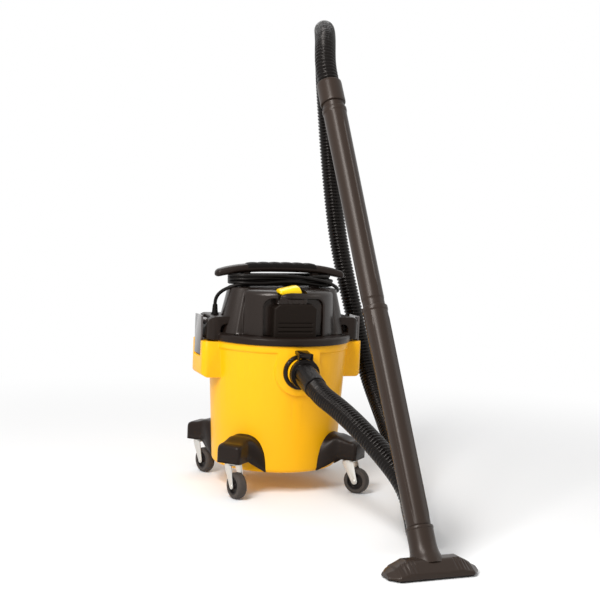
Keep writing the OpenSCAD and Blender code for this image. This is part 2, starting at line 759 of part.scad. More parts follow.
module handle_grip() placed() color(rubber) translate([-leg_x + 0.2, 0, seat_z]) {
    rise = bar_z + handle_t / 2 - seat_z;
    length = 2 * leg_x - 0.4;
    pitch = length / bump_count;
    rotate([90, 0, 90]) linear_extrude(length) intersection() {
        scale([handle_w / 2 - 0.5, rise - 1]) circle(1, $fn = 32);
        translate([-50, 0]) square(100);
    }
    for (k = [0:bump_count - 1]) translate([pitch * (k + 0.5) - 7, 0, 0]) rotate([90, 0, 90])
        linear_extrude(14) intersection() {
            scale([handle_w / 2, rise + 0.8]) circle(1, $fn = 32);
            translate([-50, 0]) square(100);
        }
}

module switch_base() placed() color(black) difference() {
    w = paddle_w + 8;
    translate([paddle_x - bezel_half_l, -paddle_y - w / 2, pivot_sw_z - 12]) cube([2 * bezel_half_l, w, 16]);
    translate([paddle_x - bezel_half_l + 3, -paddle_y - paddle_w / 2 - gap, pivot_sw_z - 9.5])
        cube([2 * bezel_half_l - 6, paddle_w + 2 * gap, 40]);
    translate([paddle_x, -paddle_y, pivot_sw_z]) rotate([90, 0, 0])
        cylinder(r = 2 + pin_clear, h = paddle_w + 5, center = true);
}

// A rocker on a cross pin: its right end stands high when it is off
module switch_paddle() placed() color(yellow) translate([paddle_x, -paddle_y, pivot_sw_z])
    rotate([90, 0, 0]) {
        linear_extrude(paddle_w, center = true) polygon([
            [-paddle_l / 2, 7], [-paddle_l / 2 + 1, 10], [paddle_l / 2 - 14, paddle_h],
            [paddle_l / 2 - 6, paddle_h - 1], [paddle_l / 2 - 1, paddle_h - 8],
            [paddle_l / 2, 2], [6, -4], [-6, -4], [-paddle_l / 2 + 8, 1]]);
        cylinder(r = 2, h = paddle_w + 4.4, center = true);
    }

module blower_port() placed() color(black) translate([0, 0, port_z]) rotate([-90, 0, 0])
    difference() {
        union() {
            translate([0, 0, port_start]) cylinder(r = port_r + 4, h = port_reach - port_start);
            translate([0, 0, port_reach - 6]) cylinder(r = port_r + 6, h = 6);
        }
        translate([0, 0, port_start - 10]) cylinder(r = port_r, h = 100);
    }

// Inside the head -------------------------------------------------------------------------------

module motor() placed() color(zinc) difference() {
    union() {
        translate([0, 0, motor_z]) cylinder(r = motor_r, h = motor_h);
        translate([0, 0, motor_z + motor_h]) cylinder(r1 = motor_r, r2 = 30, h = 12);
    }
    translate([0, 0, cover_z]) cylinder(r = shaft_r + pin_clear, h = shaft_top - cover_z + gap);
}

module motor_shaft() placed() color(zinc) translate([0, 0, fan_z]) 
    cylinder(r = shaft_r, h = shaft_top - fan_z);

// Backward-curved blades between two plates
module fan() placed() color(zinc) translate([0, 0, fan_z]) difference() {
    union() {
        cylinder(r = fan_r, h = 1.5);
        translate([0, 0, fan_h - 1.5]) cylinder(r = fan_r, h = 1.5);
        cylinder(r = 2 * shaft_r, h = fan_h);
        for (k = [0:6]) rotate(k * 360 / 7) translate([fan_r / 2 - 2, 0, 0]) linear_extrude(fan_h)
            intersection() {
                difference() {
                    circle(fan_r / 2);
                    circle(fan_r / 2 - 1.6);
                }
                translate([-16, 0]) square([60, 40]);
            }
    }
    translate([0, 0, -1]) cylinder(r = shaft_r, h = fan_h + 5);
}

module fan_housing() placed() color(satin) difference() {
    translate([0, 0, head_z + 4]) cylinder(r = fan_r + 8, h = motor_z - head_z - 4);
    translate([0, 0, head_z + 7]) cylinder(r = fan_r + 4, h = motor_z - head_z - 10);
    translate([0, 0, head_z]) cylinder(r = intake_r, h = 20);
    translate([0, 0, cover_z]) cylinder(r = 10, h = 40);
    translate([0, 0, cover_z + 6]) rotate([-90, 0, 0]) cylinder(r = 14, h = 100);
}

module float_cage() placed() color(black) difference() {
    union() {
        translate([0, 0, head_z - 4]) cylinder(r = cage_r + 12, h = 4);
        translate([0, 0, cage_z]) cylinder(r = cage_r, h = head_z - cage_z);
    }
    translate([0, 0, cage_z + 3]) cylinder(r = cage_r - 3, h = cage_drop + 5);
    for (a = [0:45:135]) rotate(a) translate([-1.5 * cage_r, -9, cage_z + 8])
        cube([3 * cage_r, 18, cage_drop - 32]);
    translate([0, 0, cage_z - 1]) cylinder(r = 3.1, h = 10);
}

module float_ball() placed() color(zinc) translate([0, 0, cage_z + 3 + gap + ball_r])
    sphere(r = ball_r);

// Pleated cartridge
module filter() placed() color([0.93, 0.92, 0.88]) translate([0, 0, filter_z]) difference() {
    union() {
        translate([0, 0, 3]) linear_extrude(head_z - filter_z - 10) polygon(
            [for (k = [0:95]) let (r = k % 2 == 0 ? filter_r - 1 : filter_r - 8)
                r * [cos(360 * k / 96), sin(360 * k / 96)]]);
        cylinder(r = filter_r, h = 4);
        translate([0, 0, head_z - filter_z - 10.4]) cylinder(r = filter_r, h = 6);
    }
    translate([0, 0, -1]) cylinder(r = cage_r + 0.3, h = filter_drop + 5);
    translate([0, 0, head_z - filter_z - 4.2]) cylinder(r = 1.5 * filter_r, h = 10);
}

module filter_plate() placed() color(black) translate([0, 0, filter_z - 6]) difference() {
    cylinder(r = filter_r - 4, h = 5.8);
    translate([0, 0, -1]) cylinder(r = 3.1, h = 10);
}

module filter_nut() placed() color(yellow) translate([0, 0, filter_z - 6]) {
    translate([0, 0, -12]) cylinder(r = 13, h = 11.8, $fn = 6);
    translate([0, 0, -1]) cylinder(r = 3, h = cage_z - filter_z + 10);
}

// Cord ------------------------------------------------------------------------------------------

module cord_gland() placed() color(rubber) translate([lead_route[0][0], lead_route[0][1], 0]) {
    collar_z = shoulder_z + 3;
    translate([0, 0, shoulder_z - 10]) cylinder(r = 6, h = 11);
    translate([0, 0, shoulder_z + 0.1]) cylinder(r = 8.5, h = 3);
    translate([0, 0, collar_z]) cylinder(r1 = 6.5, r2 = 4.9, h = lead_route[0][2] - collar_z);
}

module cord_lead() placed() color(black) cord_tube(lead_route, cord_d, 8, [0, 1, 0]);

// The outer shape of the turns wound round the handle's legs
module cord_coil() placed() color(black) translate([0, 0, coil_z]) linear_extrude(coil_h)
    difference() {
        hull() for (side = [-1, 1]) translate([side * leg_x, 0]) circle(coil_r);
        hull() for (side = [-1, 1]) translate([side * leg_x, 0]) circle(16);
    }

module cord_tail() placed() color(black) cord_tube(tail_route, cord_d, 8, [0, 0, 1]);

// Three-pin plug, lying on the motor cover behind the coil
module plug() placed() color(black) {
    tip = tail_route[len(tail_route) - 1];
    translate(tip) rotate([0, -90, 0]) {
        cylinder(r1 = 5, r2 = 7, h = 12);
        translate([0, 0, 12]) cylinder(r = plug_body_r, h = 26);
        for (x = [-6.4, 6.4]) translate([-4, x - 0.8, 38]) cube([6.3, 1.6, 17]);
        translate([6.5, 0, 38]) cylinder(r = 2.4, h = 19);
    }
}

// Hose, wands and nozzle --------------------------------------------------------------------------

// Along the drooping cuff, from the middle of the collar
module on_cuff(distance)
    translate([0, -collar_y - collar_l / 2, inlet_z]) rotate([90 + cuff_droop, 0, 0])
        translate([0, 0, distance]) children();

module hose_end() placed() color(black) difference() {
    union() {
        facing_front(inlet_z) {
            translate([0, 0, collar_y - 26])
                cylinder(r1 = inlet_r - 0.6, r2 = inlet_r - 0.15, h = 26.2);
            translate([0, 0, collar_y]) cylinder(r = collar_r, h = collar_l);
        }
        on_cuff(0) cylinder(r1 = inlet_r + 1, r2 = hose_d / 2 + 1.5, h = cuff_l);
        for (side = [-1, 1]) translate([side * (claw_w / 2 + gap + 1.5) - 1.5, -claw_y - 5, inlet_z])
            cube([3, 10, claw_z - inlet_z + 4]);
    }
    facing_front(inlet_z) translate([0, 0, collar_y - 30])
        cylinder(r = inlet_r - 3.5, h = 30 + collar_l - 2);
    translate([0, -claw_y, claw_z]) rotate([0, 90, 0])
        cylinder(r = 2 + pin_clear, h = claw_w + 20, center = true);
}

// A sprung lever on the hose end; its nose drops into the notch of the inlet ring
module hose_claw() placed() color(black) {
    rotate([0, 90, 0]) linear_extrude(claw_w, center = true) polygon([
        [-claw_z - 4, -claw_y - 4], [-claw_z + 3, -claw_y - 4], [-claw_z + 3, -claw_y + 4],
        [-claw_z + 1, -claw_y + 6], [-claw_z + 1, -nose_y - 3.2], [-claw_z - 1, -nose_y + 3.2],
        [-claw_z - 6, -nose_y + 3.2], [-claw_z - 8, -nose_y - 4]]);
    translate([0, -nose_y, claw_z - 1]) cube([claw_nose_w, 4.4, 7], center = true);
    translate([0, -claw_y, claw_z]) rotate([0, 90, 0])
        cylinder(r = 2, h = claw_w + 2 * gap + 6, center = true);
}

function hose_start_dir() = [0, -cos(cuff_droop), -sin(cuff_droop)];
function hose_start() = [0, -collar_y - collar_l / 2, inlet_z] + cuff_l * hose_start_dir();
function wand_up() =
    [-sin(wand_turn) * sin(wand_lean), cos(wand_turn) * sin(wand_lean), cos(wand_lean)];
function hose_stop() = [wand_x, -wand_y, wand_z] + (cuff_neck + cuff_grip_l) * wand_up();

module hose() placed() color(black) cord_tube(
    concat([hose_start(), hose_start() + hose_d * hose_start_dir()],
        hose_route,
        [hose_stop() + hose_d * wand_up(), hose_stop()]),
    hose_d, 12, [1, 0, 0]);

module hose_cuff() placed() color(satin) on_wand(0) difference() {
    union() {
        translate([0, 0, -wand_socket + 2]) cylinder(r = plug_r, h = wand_socket - 2 + cuff_neck + 1);
        translate([0, 0, cuff_neck]) cylinder(r1 = 25, r2 = 24, h = cuff_grip_l);
    }
    translate([0, 0, -wand_socket]) cylinder(r = plug_r - 2.5, h = wand_socket + cuff_grip_l);
}

// A straight tapered tube: its rim, at the top, takes the plug end of what comes before it
module wand(rib_turn) {
    difference() {
        union() {
            rotate_extrude() polygon([
                [plug_r - wand_wall, 0], [wand_r_top + 1.2, 0], [wand_r_top + 1.2, -7],
                [wand_r_top, -9], [wand_r_low, -wand_len + plug_l], [plug_r, -wand_len + plug_l - 2],
                [plug_r - 0.4, -wand_len], [plug_r - wand_wall, -wand_len]]);
            rotate(rib_turn) rotate([0, atan((wand_r_top - wand_r_low) / wand_len), 0])
                translate([wand_r_low - 0.3, -1, -wand_len + plug_l + 8])
                    cube([2.2, 2, wand_len - plug_l - 40]);
        }
        translate([0, 0, -wand_socket - gap]) cylinder(r = wand_r_top - wand_wall, h = wand_socket + 2);
        translate([0, 0, -wand_len - 1]) cylinder(r = plug_r - wand_wall, h = wand_len);
    }
}

module upper_wand() placed() color(satin) on_wand(0) wand(90);

module lower_wand() placed() color(satin) on_wand(wand_rest_s) wand(rib_angle);

// The nozzle's middle, at its front edge
module on_nozzle() turned() translate([0, wand_y - nozzle_front, 0]) children();

module nozzle_outline(inset) {
    w = nozzle_w / 2 - inset;
    d = nozzle_d - 2 * inset;
    polygon([[-w + 16, -d / 2], [w - 16, -d / 2], [w, -d / 6], [w, d / 4], [w - 12, d / 2],
             [12 - w, d / 2], [-w, d / 4], [-w, -d / 6]]);
}

module floor_nozzle() placed() color(satin) difference() {
    union() {
        on_nozzle() translate([0, nozzle_d / 2, bristle_h - 1]) hull() {
            linear_extrude(8) nozzle_outline(0);
            translate([0, 6, nozzle_h - bristle_h - 1]) linear_extrude(2)
                square([nozzle_w - 62, nozzle_d - 28], center = true);
        }
        intersection() {
            on_wand(neck_s + 70) cylinder(r = wand_r_top + 0.8, h = 70);
            on_nozzle() translate([-nozzle_w, -nozzle_w, bristle_h + 10])
                cube([2 * nozzle_w, 3 * nozzle_w, neck_z]);
        }
        on_wand(neck_s + 5) cylinder(r = wand_r_top + 1.6, h = 5);
    }
    on_wand(neck_s + nozzle_socket + gap) cylinder(r = wand_r_top - wand_wall, h = 100);
    on_wand(neck_s + nozzle_socket + 25) cylinder(r = plug_r - wand_wall, h = 60);
    on_nozzle() {
        translate([-nozzle_w / 2 + 8, 11, -10]) cube([nozzle_w - 16, nozzle_d - 22, 10 + bristle_h + 11]);
        for (side = [-1, 1]) for (k = [0:3])
            translate([side * (nozzle_w / 2 - 26 - 9 * k), -2, bristle_h + 6])
                rotate([56, 0, 0]) translate([0, 0, -30]) cylinder(r = 1.6, h = 60, $fn = 16);
    }
}

// Bristle strips along the front and back of the nozzle's mouth
module nozzle_bristles() placed() color(black) for (y = [6, nozzle_d - 10])
    on_nozzle() translate([18 - nozzle_w / 2, y, 0]) cube([nozzle_w - 36, 4, bristle_h - 1]);

tank();
inlet_ring();
inlet_deflector();
foot_screws();
foot(0);  // foot_front_left
foot(1);  // foot_front_right
foot(2);  // foot_rear_left
foot(3);  // foot_rear_right
fork(0);  // fork_front_left
fork(1);  // fork_front_right
fork(2);  // fork_rear_left
fork(3);  // fork_rear_right
axle(0);  // axle_front_left
axle(1);  // axle_front_right
axle(2);  // axle_rear_left
axle(3);  // axle_rear_right
hub(0);  // hub_front_left
hub(1);  // hub_front_right
hub(2);  // hub_rear_left
hub(3);  // hub_rear_right
tyre(0);  // tyre_front_left
tyre(1);  // tyre_front_right
tyre(2);  // tyre_rear_left
tyre(3);  // tyre_rear_right
head_base();
head_gasket();
head_cover();
front_panel();
head_screws();
latch(1);  // latch_left
latch(0);  // latch_right
latch_pins();
carry_handle();
handle_grip();
switch_base();
switch_paddle();
blower_port();
motor();
motor_shaft();
fan();
fan_housing();
float_cage();
float_ball();
filter();
filter_plate();
filter_nut();
cord_gland();
cord_lead();
cord_coil();
cord_tail();
plug();
hose_end();
hose_claw();
hose();
hose_cuff();
upper_wand();
lower_wand();
floor_nozzle();
nozzle_bristles();
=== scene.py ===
"""Looks of a wet and dry shop vacuum: drum tank on casters, motor head, hose, wands and nozzle."""

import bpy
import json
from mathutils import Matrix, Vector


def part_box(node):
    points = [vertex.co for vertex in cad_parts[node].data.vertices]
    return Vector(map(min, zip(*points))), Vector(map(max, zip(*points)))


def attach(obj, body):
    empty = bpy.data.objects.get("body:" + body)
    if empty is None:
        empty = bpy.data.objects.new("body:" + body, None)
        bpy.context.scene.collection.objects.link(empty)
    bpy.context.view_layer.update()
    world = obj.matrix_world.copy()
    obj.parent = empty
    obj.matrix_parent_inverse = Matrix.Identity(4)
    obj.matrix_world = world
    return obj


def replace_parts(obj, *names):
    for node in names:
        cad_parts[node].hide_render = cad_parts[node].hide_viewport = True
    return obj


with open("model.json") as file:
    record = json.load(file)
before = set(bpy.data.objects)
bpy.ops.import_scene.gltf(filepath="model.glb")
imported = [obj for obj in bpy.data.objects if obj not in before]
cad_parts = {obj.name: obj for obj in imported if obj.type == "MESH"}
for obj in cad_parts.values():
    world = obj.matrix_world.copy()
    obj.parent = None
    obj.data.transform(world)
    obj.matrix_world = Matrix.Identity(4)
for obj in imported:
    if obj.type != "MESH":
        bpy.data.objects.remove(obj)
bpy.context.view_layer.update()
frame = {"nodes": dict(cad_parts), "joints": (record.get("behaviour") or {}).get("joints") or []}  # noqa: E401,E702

import json
import math

import bpy
import numpy as np
from bpy.props import FloatProperty, FloatVectorProperty, IntProperty, PointerProperty
from mathutils import Matrix, Vector

bl_info = {
    "name": "Shop vacuum",
    "version": (1, 0, 0),
    "blender": (4, 5, 0),
    "location": "3D View > Sidebar > Shop vacuum",
    "description": "Surfaces, materials and stage of a wet and dry shop vacuum",
    "category": "Object",
}

MM = 0.001
CORNERS = ("front_left", "front_right", "rear_left", "rear_right")


def middle(node):
    """Centre of a CAD node's box."""
    low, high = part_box(node)
    return (low + high) / 2


def joint(name):
    """The frame's joint of this name."""
    return next(j for j in frame["joints"] if j["name"] == name)


AXIS_Y = middle("motor_shaft").y        # the tank's axis in the frame
AXIS = np.array([0.0, AXIS_Y, 0.0])
COVER_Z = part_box("head_cover")[0].z     # top of the head's flange
TOP_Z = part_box("head_cover")[1].z       # top of the motor cover
WAND_DOWN = np.array(joint("nozzle_pull")["axis"])


# ---- Numbers and meshes ----

def at(x, y, z):
    """A point given in mm from the tank's axis on the floor, in the frame."""
    return np.array([x * MM, y * MM + AXIS_Y, z * MM])


def placed(x, y, z):
    """A grid of points in the frame, from coordinates in mm from the tank's axis."""
    return np.stack(np.broadcast_arrays(x, y, z), -1) * MM + AXIS


def linear(hex_colour):
    """An sRGB hex colour as linear RGBA."""
    s = np.array([int(hex_colour[i:i + 2], 16) for i in (1, 3, 5)]) / 255
    return tuple(np.where(s <= 0.04045, s / 12.92, ((s + 0.055) / 1.055) ** 2.4)) + (1.0,)


def smoothstep(low, high, x):
    """0 below low, 1 above high, and an S curve between them."""
    t = np.clip((x - low) / (high - low), 0, 1)
    return t * t * (3 - 2 * t)


def squared(wave, power):
    """A sine or cosine bent towards a box, as in a superellipse: sign(wave) * |wave| ^ power."""
    return np.sign(wave) * np.abs(wave) ** power


def circle(sides):
    """Cosines and sines of evenly spaced angles round a full turn."""
    a = np.linspace(0, 2 * math.pi, sides, endpoint=False)
    return np.cos(a), np.sin(a)


def unit(v):
    """Vectors of an array, scaled to length 1."""
    return v / np.linalg.norm(v, axis=-1, keepdims=True)


def points_of(obj):
    """The points of an object's mesh, as rows of an array."""
    co = np.empty(len(obj.data.vertices) * 3)
    obj.data.vertices.foreach_get("co", co)
    return co.reshape(-1, 3)


def finish_mesh(name, points, faces, sharp=40):
    """An object at the origin from points and faces, smooth but for edges sharper than an angle."""
    mesh = bpy.data.meshes.new(name)
    mesh.from_pydata(np.asarray(points, float).reshape(-1, 3).tolist(), [], faces)
    mesh.polygons.foreach_set("use_smooth", np.ones(len(mesh.polygons), bool))
    mesh.set_sharp_from_angle(angle=math.radians(sharp))
    mesh.update()
    obj = bpy.data.objects.new(name, mesh)
    bpy.context.scene.collection.objects.link(obj)
    return obj


def grid_faces(rows, cols, wrap_rows=False, wrap_cols=True):
    """Quads between neighbouring rows and columns of a grid, seams closed where it wraps."""
    i, j = np.meshgrid(np.arange(rows if wrap_rows else rows - 1),
                       np.arange(cols if wrap_cols else cols - 1), indexing="ij")
    i2, j2 = (i + 1) % rows, (j + 1) % cols
    quads = np.stack([i * cols + j, i * cols + j2, i2 * cols + j2, i2 * cols + j], -1)
    return quads.reshape(-1, 4).tolist()


NO_END, LAST_END, BOTH_ENDS = (False, False), (False, True), (True, True)


def skin(name, grid, wrap_rows=False, wrap_cols=True, ends=BOTH_ENDS, sharp=40, flip=False):
    """A surface P(row, column) over a grid of points; a face closes its first and last loops."""
    rows, cols = grid.shape[:2]
    faces = grid_faces(rows, cols, wrap_rows, wrap_cols)
    if ends[0]:
        faces.append(list(range(cols))[::-1])
    if ends[1]:
        faces.append(list(range((rows - 1) * cols, rows * cols)))
    if flip:
        faces = [f[::-1] for f in faces]
    return finish_mesh(name, grid, faces, sharp)


def join(name, parts, sharp):
    """One object from several, with the meshes' points and faces put one after another."""
    points, faces, start = [], [], 0
    for obj in parts:
        mesh = obj.data
        points.append(points_of(obj))
        faces += [[v + start for v in p.vertices] for p in mesh.polygons]
        start += len(mesh.vertices)
        bpy.data.objects.remove(obj)
        bpy.data.meshes.remove(mesh)
    return finish_mesh(name, np.concatenate(points), faces, sharp)


def walled(obj, thickness_mm):
    """A surface with a wall added inwards by a live modifier."""
    wall = obj.modifiers.new("wall", "SOLIDIFY")
    wall.thickness, wall.offset = thickness_mm * MM, -1
    return obj


def revolve(name, profile, origin, direction=(0, 0, 1), steps=96, sharp=40):
    """A closed profile of (radius, height) turned about an axis.

    P = origin + height * axis + radius * spoke"""
    d = unit(np.asarray(direction, float))
    side = unit(np.cross(d, [0, 1, 0] if abs(d[1]) < 0.9 else [1, 0, 0]))
    up = np.cross(d, side)
    cos, sin = circle(steps)
    spokes = cos[:, None] * side + sin[:, None] * up
    grid = np.asarray(origin) + profile[:, None, 1:2] * d + profile[:, None, 0:1] * spokes
    return skin(name, grid, wrap_rows=True, ends=NO_END, sharp=sharp)


def filleted(points, radii, steps):
    """A polyline whose corners become quadratic curves that start a radius before each corner."""
    p = np.asarray(points, float)
    out = [p[:1]]
    t = np.linspace(0, 1, steps)[:, None]
    for k in range(1, len(p) - 1):
        if radii[k] <= 0:
            out.append(p[k:k + 1])
            continue
        a, b = p[k - 1] - p[k], p[k + 1] - p[k]
        la, lb = np.linalg.norm(a), np.linalg.norm(b)
        start = p[k] + a / la * min(radii[k], la * 0.49)
        stop = p[k] + b / lb * min(radii[k], lb * 0.49)
        out.append((1 - t) ** 2 * start + 2 * t * (1 - t) * p[k] + t * t * stop)
    return np.concatenate(out + [p[-1:]])


def spline(points, spacing):
    """A smooth line through points (Catmull-Rom), with points of its own at an even spacing."""
    p = np.asarray(points, float)
    q = np.concatenate([[2 * p[0] - p[1]], p, [2 * p[-1] - p[-2]]])
    t = np.linspace(0, 1, 24, endpoint=False)[None, :, None]
    a, b, c, d = q[:-3, None], q[1:-2, None], q[2:-1, None], q[3:, None]
    fine = 0.5 * (2 * b + (c - a) * t + (2 * a - 5 * b + 4 * c - d) * t ** 2
                  + (3 * b - a - 3 * c + d) * t ** 3)
    return resampled(np.concatenate([fine.reshape(-1, 3), p[-1:]]), spacing)


def resampled(line, spacing):
    """The same line with points at an even spacing."""
    s = np.concatenate([[0], np.cumsum(np.linalg.norm(np.diff(line, axis=0), axis=1))])
    even = np.linspace(0, s[-1], max(2, int(round(s[-1] / spacing)) + 1))
    return np.stack([np.interp(even, s, line[:, k]) for k in range(3)], 1)


def relaxed(line, rounds):
    """A line whose inner points are averaged with their neighbours a number of times."""
    line = line.copy()
    for _ in range(rounds):
        line[2:-2] = 0.25 * line[1:-3] + 0.5 * line[2:-2] + 0.25 * line[3:-1]
    return line


def frames_along(line):
    """Two directions across a line, at right angles, that turn as little as they can along it."""
    ahead = unit(np.gradient(line, axis=0))
    across = np.empty_like(ahead)
    last = np.array([1.0, 0.0, 0.0])
    for k, d in enumerate(ahead):
        last = last - d * (last @ d)
        last = last / np.linalg.norm(last)
        across[k] = last
    return across, np.cross(ahead, across)


def tube(name, line, radius, sides):
    """P(s, a) = line(s) + radius(s, a) * (cos a * across + sin a * up)."""
    u, v = frames_along(line)
    cos, sin = circle(sides)
    radius = np.broadcast_to(radius, (len(line), sides))[..., None]
    grid = line[:, None] + radius * (cos[None, :, None] * u[:, None]
                                     + sin[None, :, None] * v[:, None])
    return skin(name, grid, sharp=75)


# ---- Materials ----

PLASTIC_IOR = 1.5                       # the plastics and rubbers here lie between 1.46 and 1.54
WARM_SHINE = (1, 0.93, 0.88, 1)
MIX_A, MIX_B, MIX_RESULT = 6, 7, 2      # the colour sockets of a Mix node


def add(tree, kind, settings=(), links=()):
    """One node with its settings; links are (input, socket to read) pairs."""
    made = tree.nodes.new(kind)
    for key, value in dict(settings).items():
        if key in made.inputs.keys():
            made.inputs[key].default_value = value
        else:
            setattr(made, key, value)
    for key, source in dict(links).items():
        tree.links.new(source, made.inputs[key])
    return made


def moulded(name, colour, roughness, grain_mm, bump_mm, shade=0.06, coat=0.0, metallic=0.0,
            specular=0.5):
    """A finely grained surface: Noise of a real grain size drives bump, roughness and shade."""
    material = bpy.data.materials.new(name)
    material.use_nodes = True
    tree = material.node_tree
    shader = tree.nodes["Principled BSDF"]
    uniform = {"Metallic": metallic, "Coat Weight": coat, "Coat Roughness": 0.12}
    if not metallic:
        uniform |= {"IOR": PLASTIC_IOR, "Specular IOR Level": specular,
                    "Specular Tint": WARM_SHINE}
    for key, value in uniform.items():
        shader.inputs[key].default_value = value
    place = add(tree, "ShaderNodeTexCoord").outputs["Object"]
    grain = add(tree, "ShaderNodeTexNoise", {"Scale": 1 / (grain_mm * MM), "Detail": 3.0},
                {"Vector": place}).outputs["Fac"]
    broad = add(tree, "ShaderNodeTexNoise", {"Scale": 14.0, "Detail": 2.0},
                {"Vector": place}).outputs["Fac"]
    base = linear(colour)
    tint = add(tree, "ShaderNodeMix", {"data_type": "RGBA"}, {"Factor": broad})
    tint.inputs[MIX_A].default_value = tuple(c * (1 - shade) for c in base[:3]) + (1.0,)
    tint.inputs[MIX_B].default_value = tuple(min(1, c * (1 + shade)) for c in base[:3]) + (1.0,)
    tree.links.new(tint.outputs[MIX_RESULT], shader.inputs["Base Color"])
    rough = add(tree, "ShaderNodeMapRange",
                {"To Min": roughness * 0.88, "To Max": roughness * 1.12}, {"Value": grain})
    tree.links.new(rough.outputs["Result"], shader.inputs["Roughness"])
    bump = add(tree, "ShaderNodeBump", {"Strength": 0.6, "Distance": bump_mm * MM},
               {"Height": grain})
    tree.links.new(bump.outputs["Normal"], shader.inputs["Normal"])
    return material


# Real finishes, and what each gives the eye: colour, roughness, grain and bump in mm, the rest
FINISHES = {
    # drum: high-density polyethylene, blow moulded: even satin with a faint orange-peel grain
    "moulded_yellow_hdpe": ("#FAB50A", 0.36, 0.9, 0.04, dict(shade=0.02, specular=0.25)),
    # motor cover: ABS, injection moulded and lightly spark-eroded: soft broad highlights
    "moulded_black_abs": ("#1A120E", 0.27, 0.6, 0.04, dict(shade=0.05, specular=0.34)),
    # flange, feet and small mouldings: injection moulded polypropylene, a little duller
    "moulded_black_pp": ("#1A120E", 0.36, 0.7, 0.05, dict(specular=0.2)),
    # raised panel: the same ABS with a coarser matt texture
    "textured_black_abs": ("#17110D", 0.46, 0.8, 0.08, dict(shade=0.04, specular=0.12)),
    # inlet ring and claw: polished ABS, small sharp glints
    "polished_black_abs": ("#140E0C", 0.2, 1.2, 0.02, dict(shade=0.03, specular=0.25)),
    # latches: clear-coated ABS, bright where it is seen from a flat angle
    "coated_latch_abs": ("#2E2728", 0.14, 1.4, 0.01, dict(shade=0.03, coat=0.45, specular=1.0)),
    # head screws: blackened steel, dark satin
    "blackened_steel": ("#2B2826", 0.42, 0.8, 0.03, dict(metallic=1.0)),
    # wands, their cuff and the nozzle: polypropylene, a brown-black satin
    "extruded_wand_pp": ("#2B211B", 0.33, 1.0, 0.04, dict(specular=0.24)),
    # hose: blown EVA, a soft black sheen on its ribs
    "blown_hose_eva": ("#0B0807", 0.24, 0.8, 0.03, dict(shade=0.05, specular=0.18)),
    # switch paddle and filter nut: glossy yellow ABS
    "glossy_yellow_abs": ("#FFD012", 0.25, 1.0, 0.02, dict(shade=0.02, specular=0.35)),
    # forks, rivets and screws: zinc plated steel, bright with cloudy crystals
    "zinc_plated_steel": ("#D5D2CC", 0.33, 1.6, 0.02, dict(shade=0.1, metallic=1.0)),
    # motor shell: painted steel, plain grey
    "painted_motor_steel": ("#83868A", 0.45, 1.0, 0.03, {}),
    # fan: pressed aluminium, pale and soft
    "pressed_aluminium": ("#C9CACB", 0.35, 0.8, 0.03, dict(metallic=1.0)),
    # tyres: grey thermoplastic rubber, matt
    "grey_tyre_rubber": ("#453F3B", 0.62, 0.8, 0.08, dict(shade=0.07, specular=0.2)),
    # hubs: black nylon, satin
    "black_hub_nylon": ("#1C1817", 0.4, 0.8, 0.04, dict(specular=0.2)),
    # grip, gland and gasket: soft rubber with a powdery sheen
    "soft_grip_rubber": ("#0E0C0B", 0.55, 0.5, 0.06, dict(specular=0.09)),
    # power cord: PVC jacket, a dull shine along its turns
    "cord_jacket_pvc": ("#0F0D0C", 0.4, 0.9, 0.03, dict(specular=0.16)),
    # plug: moulded PVC
    "moulded_plug_pvc": ("#110F0E", 0.4, 0.8, 0.03, dict(specular=0.18)),
    # cartridge: pleated cellulose paper, matt cream
    "pleated_filter_paper": ("#E9E5DA", 0.9, 0.5, 0.08, {}),
    # bristle strips: black nylon filament
    "nylon_bristle": ("#201E1D", 0.6, 0.6, 0.3, {}),
    # float ball and inner mouldings: plain grey polypropylene
    "natural_grey_pp": ("#5A5756", 0.5, 0.8, 0.04, {}),
}

NODES_OF_FINISH = {
    "moulded_yellow_hdpe": ("tank",),
    "moulded_black_abs": ("head_cover", "switch_base"),
    "moulded_black_pp": ("inlet_deflector", "head_base", "carry_handle", "blower_port",
                         "float_cage", "filter_plate", *("foot_" + c for c in CORNERS)),
    "textured_black_abs": ("front_panel",),
    "polished_black_abs": ("inlet_ring", "hose_claw"),
    "coated_latch_abs": ("latch_left", "latch_right"),
    "blackened_steel": ("head_screws",),
    "extruded_wand_pp": ("upper_wand", "lower_wand", "floor_nozzle", "hose_cuff"),
    "blown_hose_eva": ("hose_end", "hose"),
    "glossy_yellow_abs": ("switch_paddle", "filter_nut"),
    "zinc_plated_steel": ("foot_screws", "latch_pins", "motor_shaft",
                          *(part + c for part in ("fork_", "axle_") for c in CORNERS)),
    "painted_motor_steel": ("motor",),
    "pressed_aluminium": ("fan",),
    "grey_tyre_rubber": ["tyre_" + c for c in CORNERS],
    "black_hub_nylon": ["hub_" + c for c in CORNERS],
    "soft_grip_rubber": ("head_gasket", "handle_grip", "cord_gland"),
    "cord_jacket_pvc": ("cord_lead", "cord_coil", "cord_tail"),
    "moulded_plug_pvc": ("plug",),
    "pleated_filter_paper": ("filter",),
    "nylon_bristle": ("nozzle_bristles",),
    "natural_grey_pp": ("fan_housing", "float_ball"),
}
NODE_FINISH = {node: finish for finish, nodes in NODES_OF_FINISH.items() for node in nodes}


def paint(obj, finish):
    """Gives an object one material, made the first time it is asked for."""
    *plain, special = FINISHES[finish]
    material = bpy.data.materials.get(finish) or moulded(finish, *plain, **special)
    obj.data.materials.clear()
    obj.data.materials.append(material)
    return obj


def stand_for(obj, body, *nodes):
    """A piece rides on a body and stands for CAD nodes, which it hides, with the first one's finish."""
    paint(obj, NODE_FINISH[nodes[0]])
    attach(obj, body)
    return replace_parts(obj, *nodes)


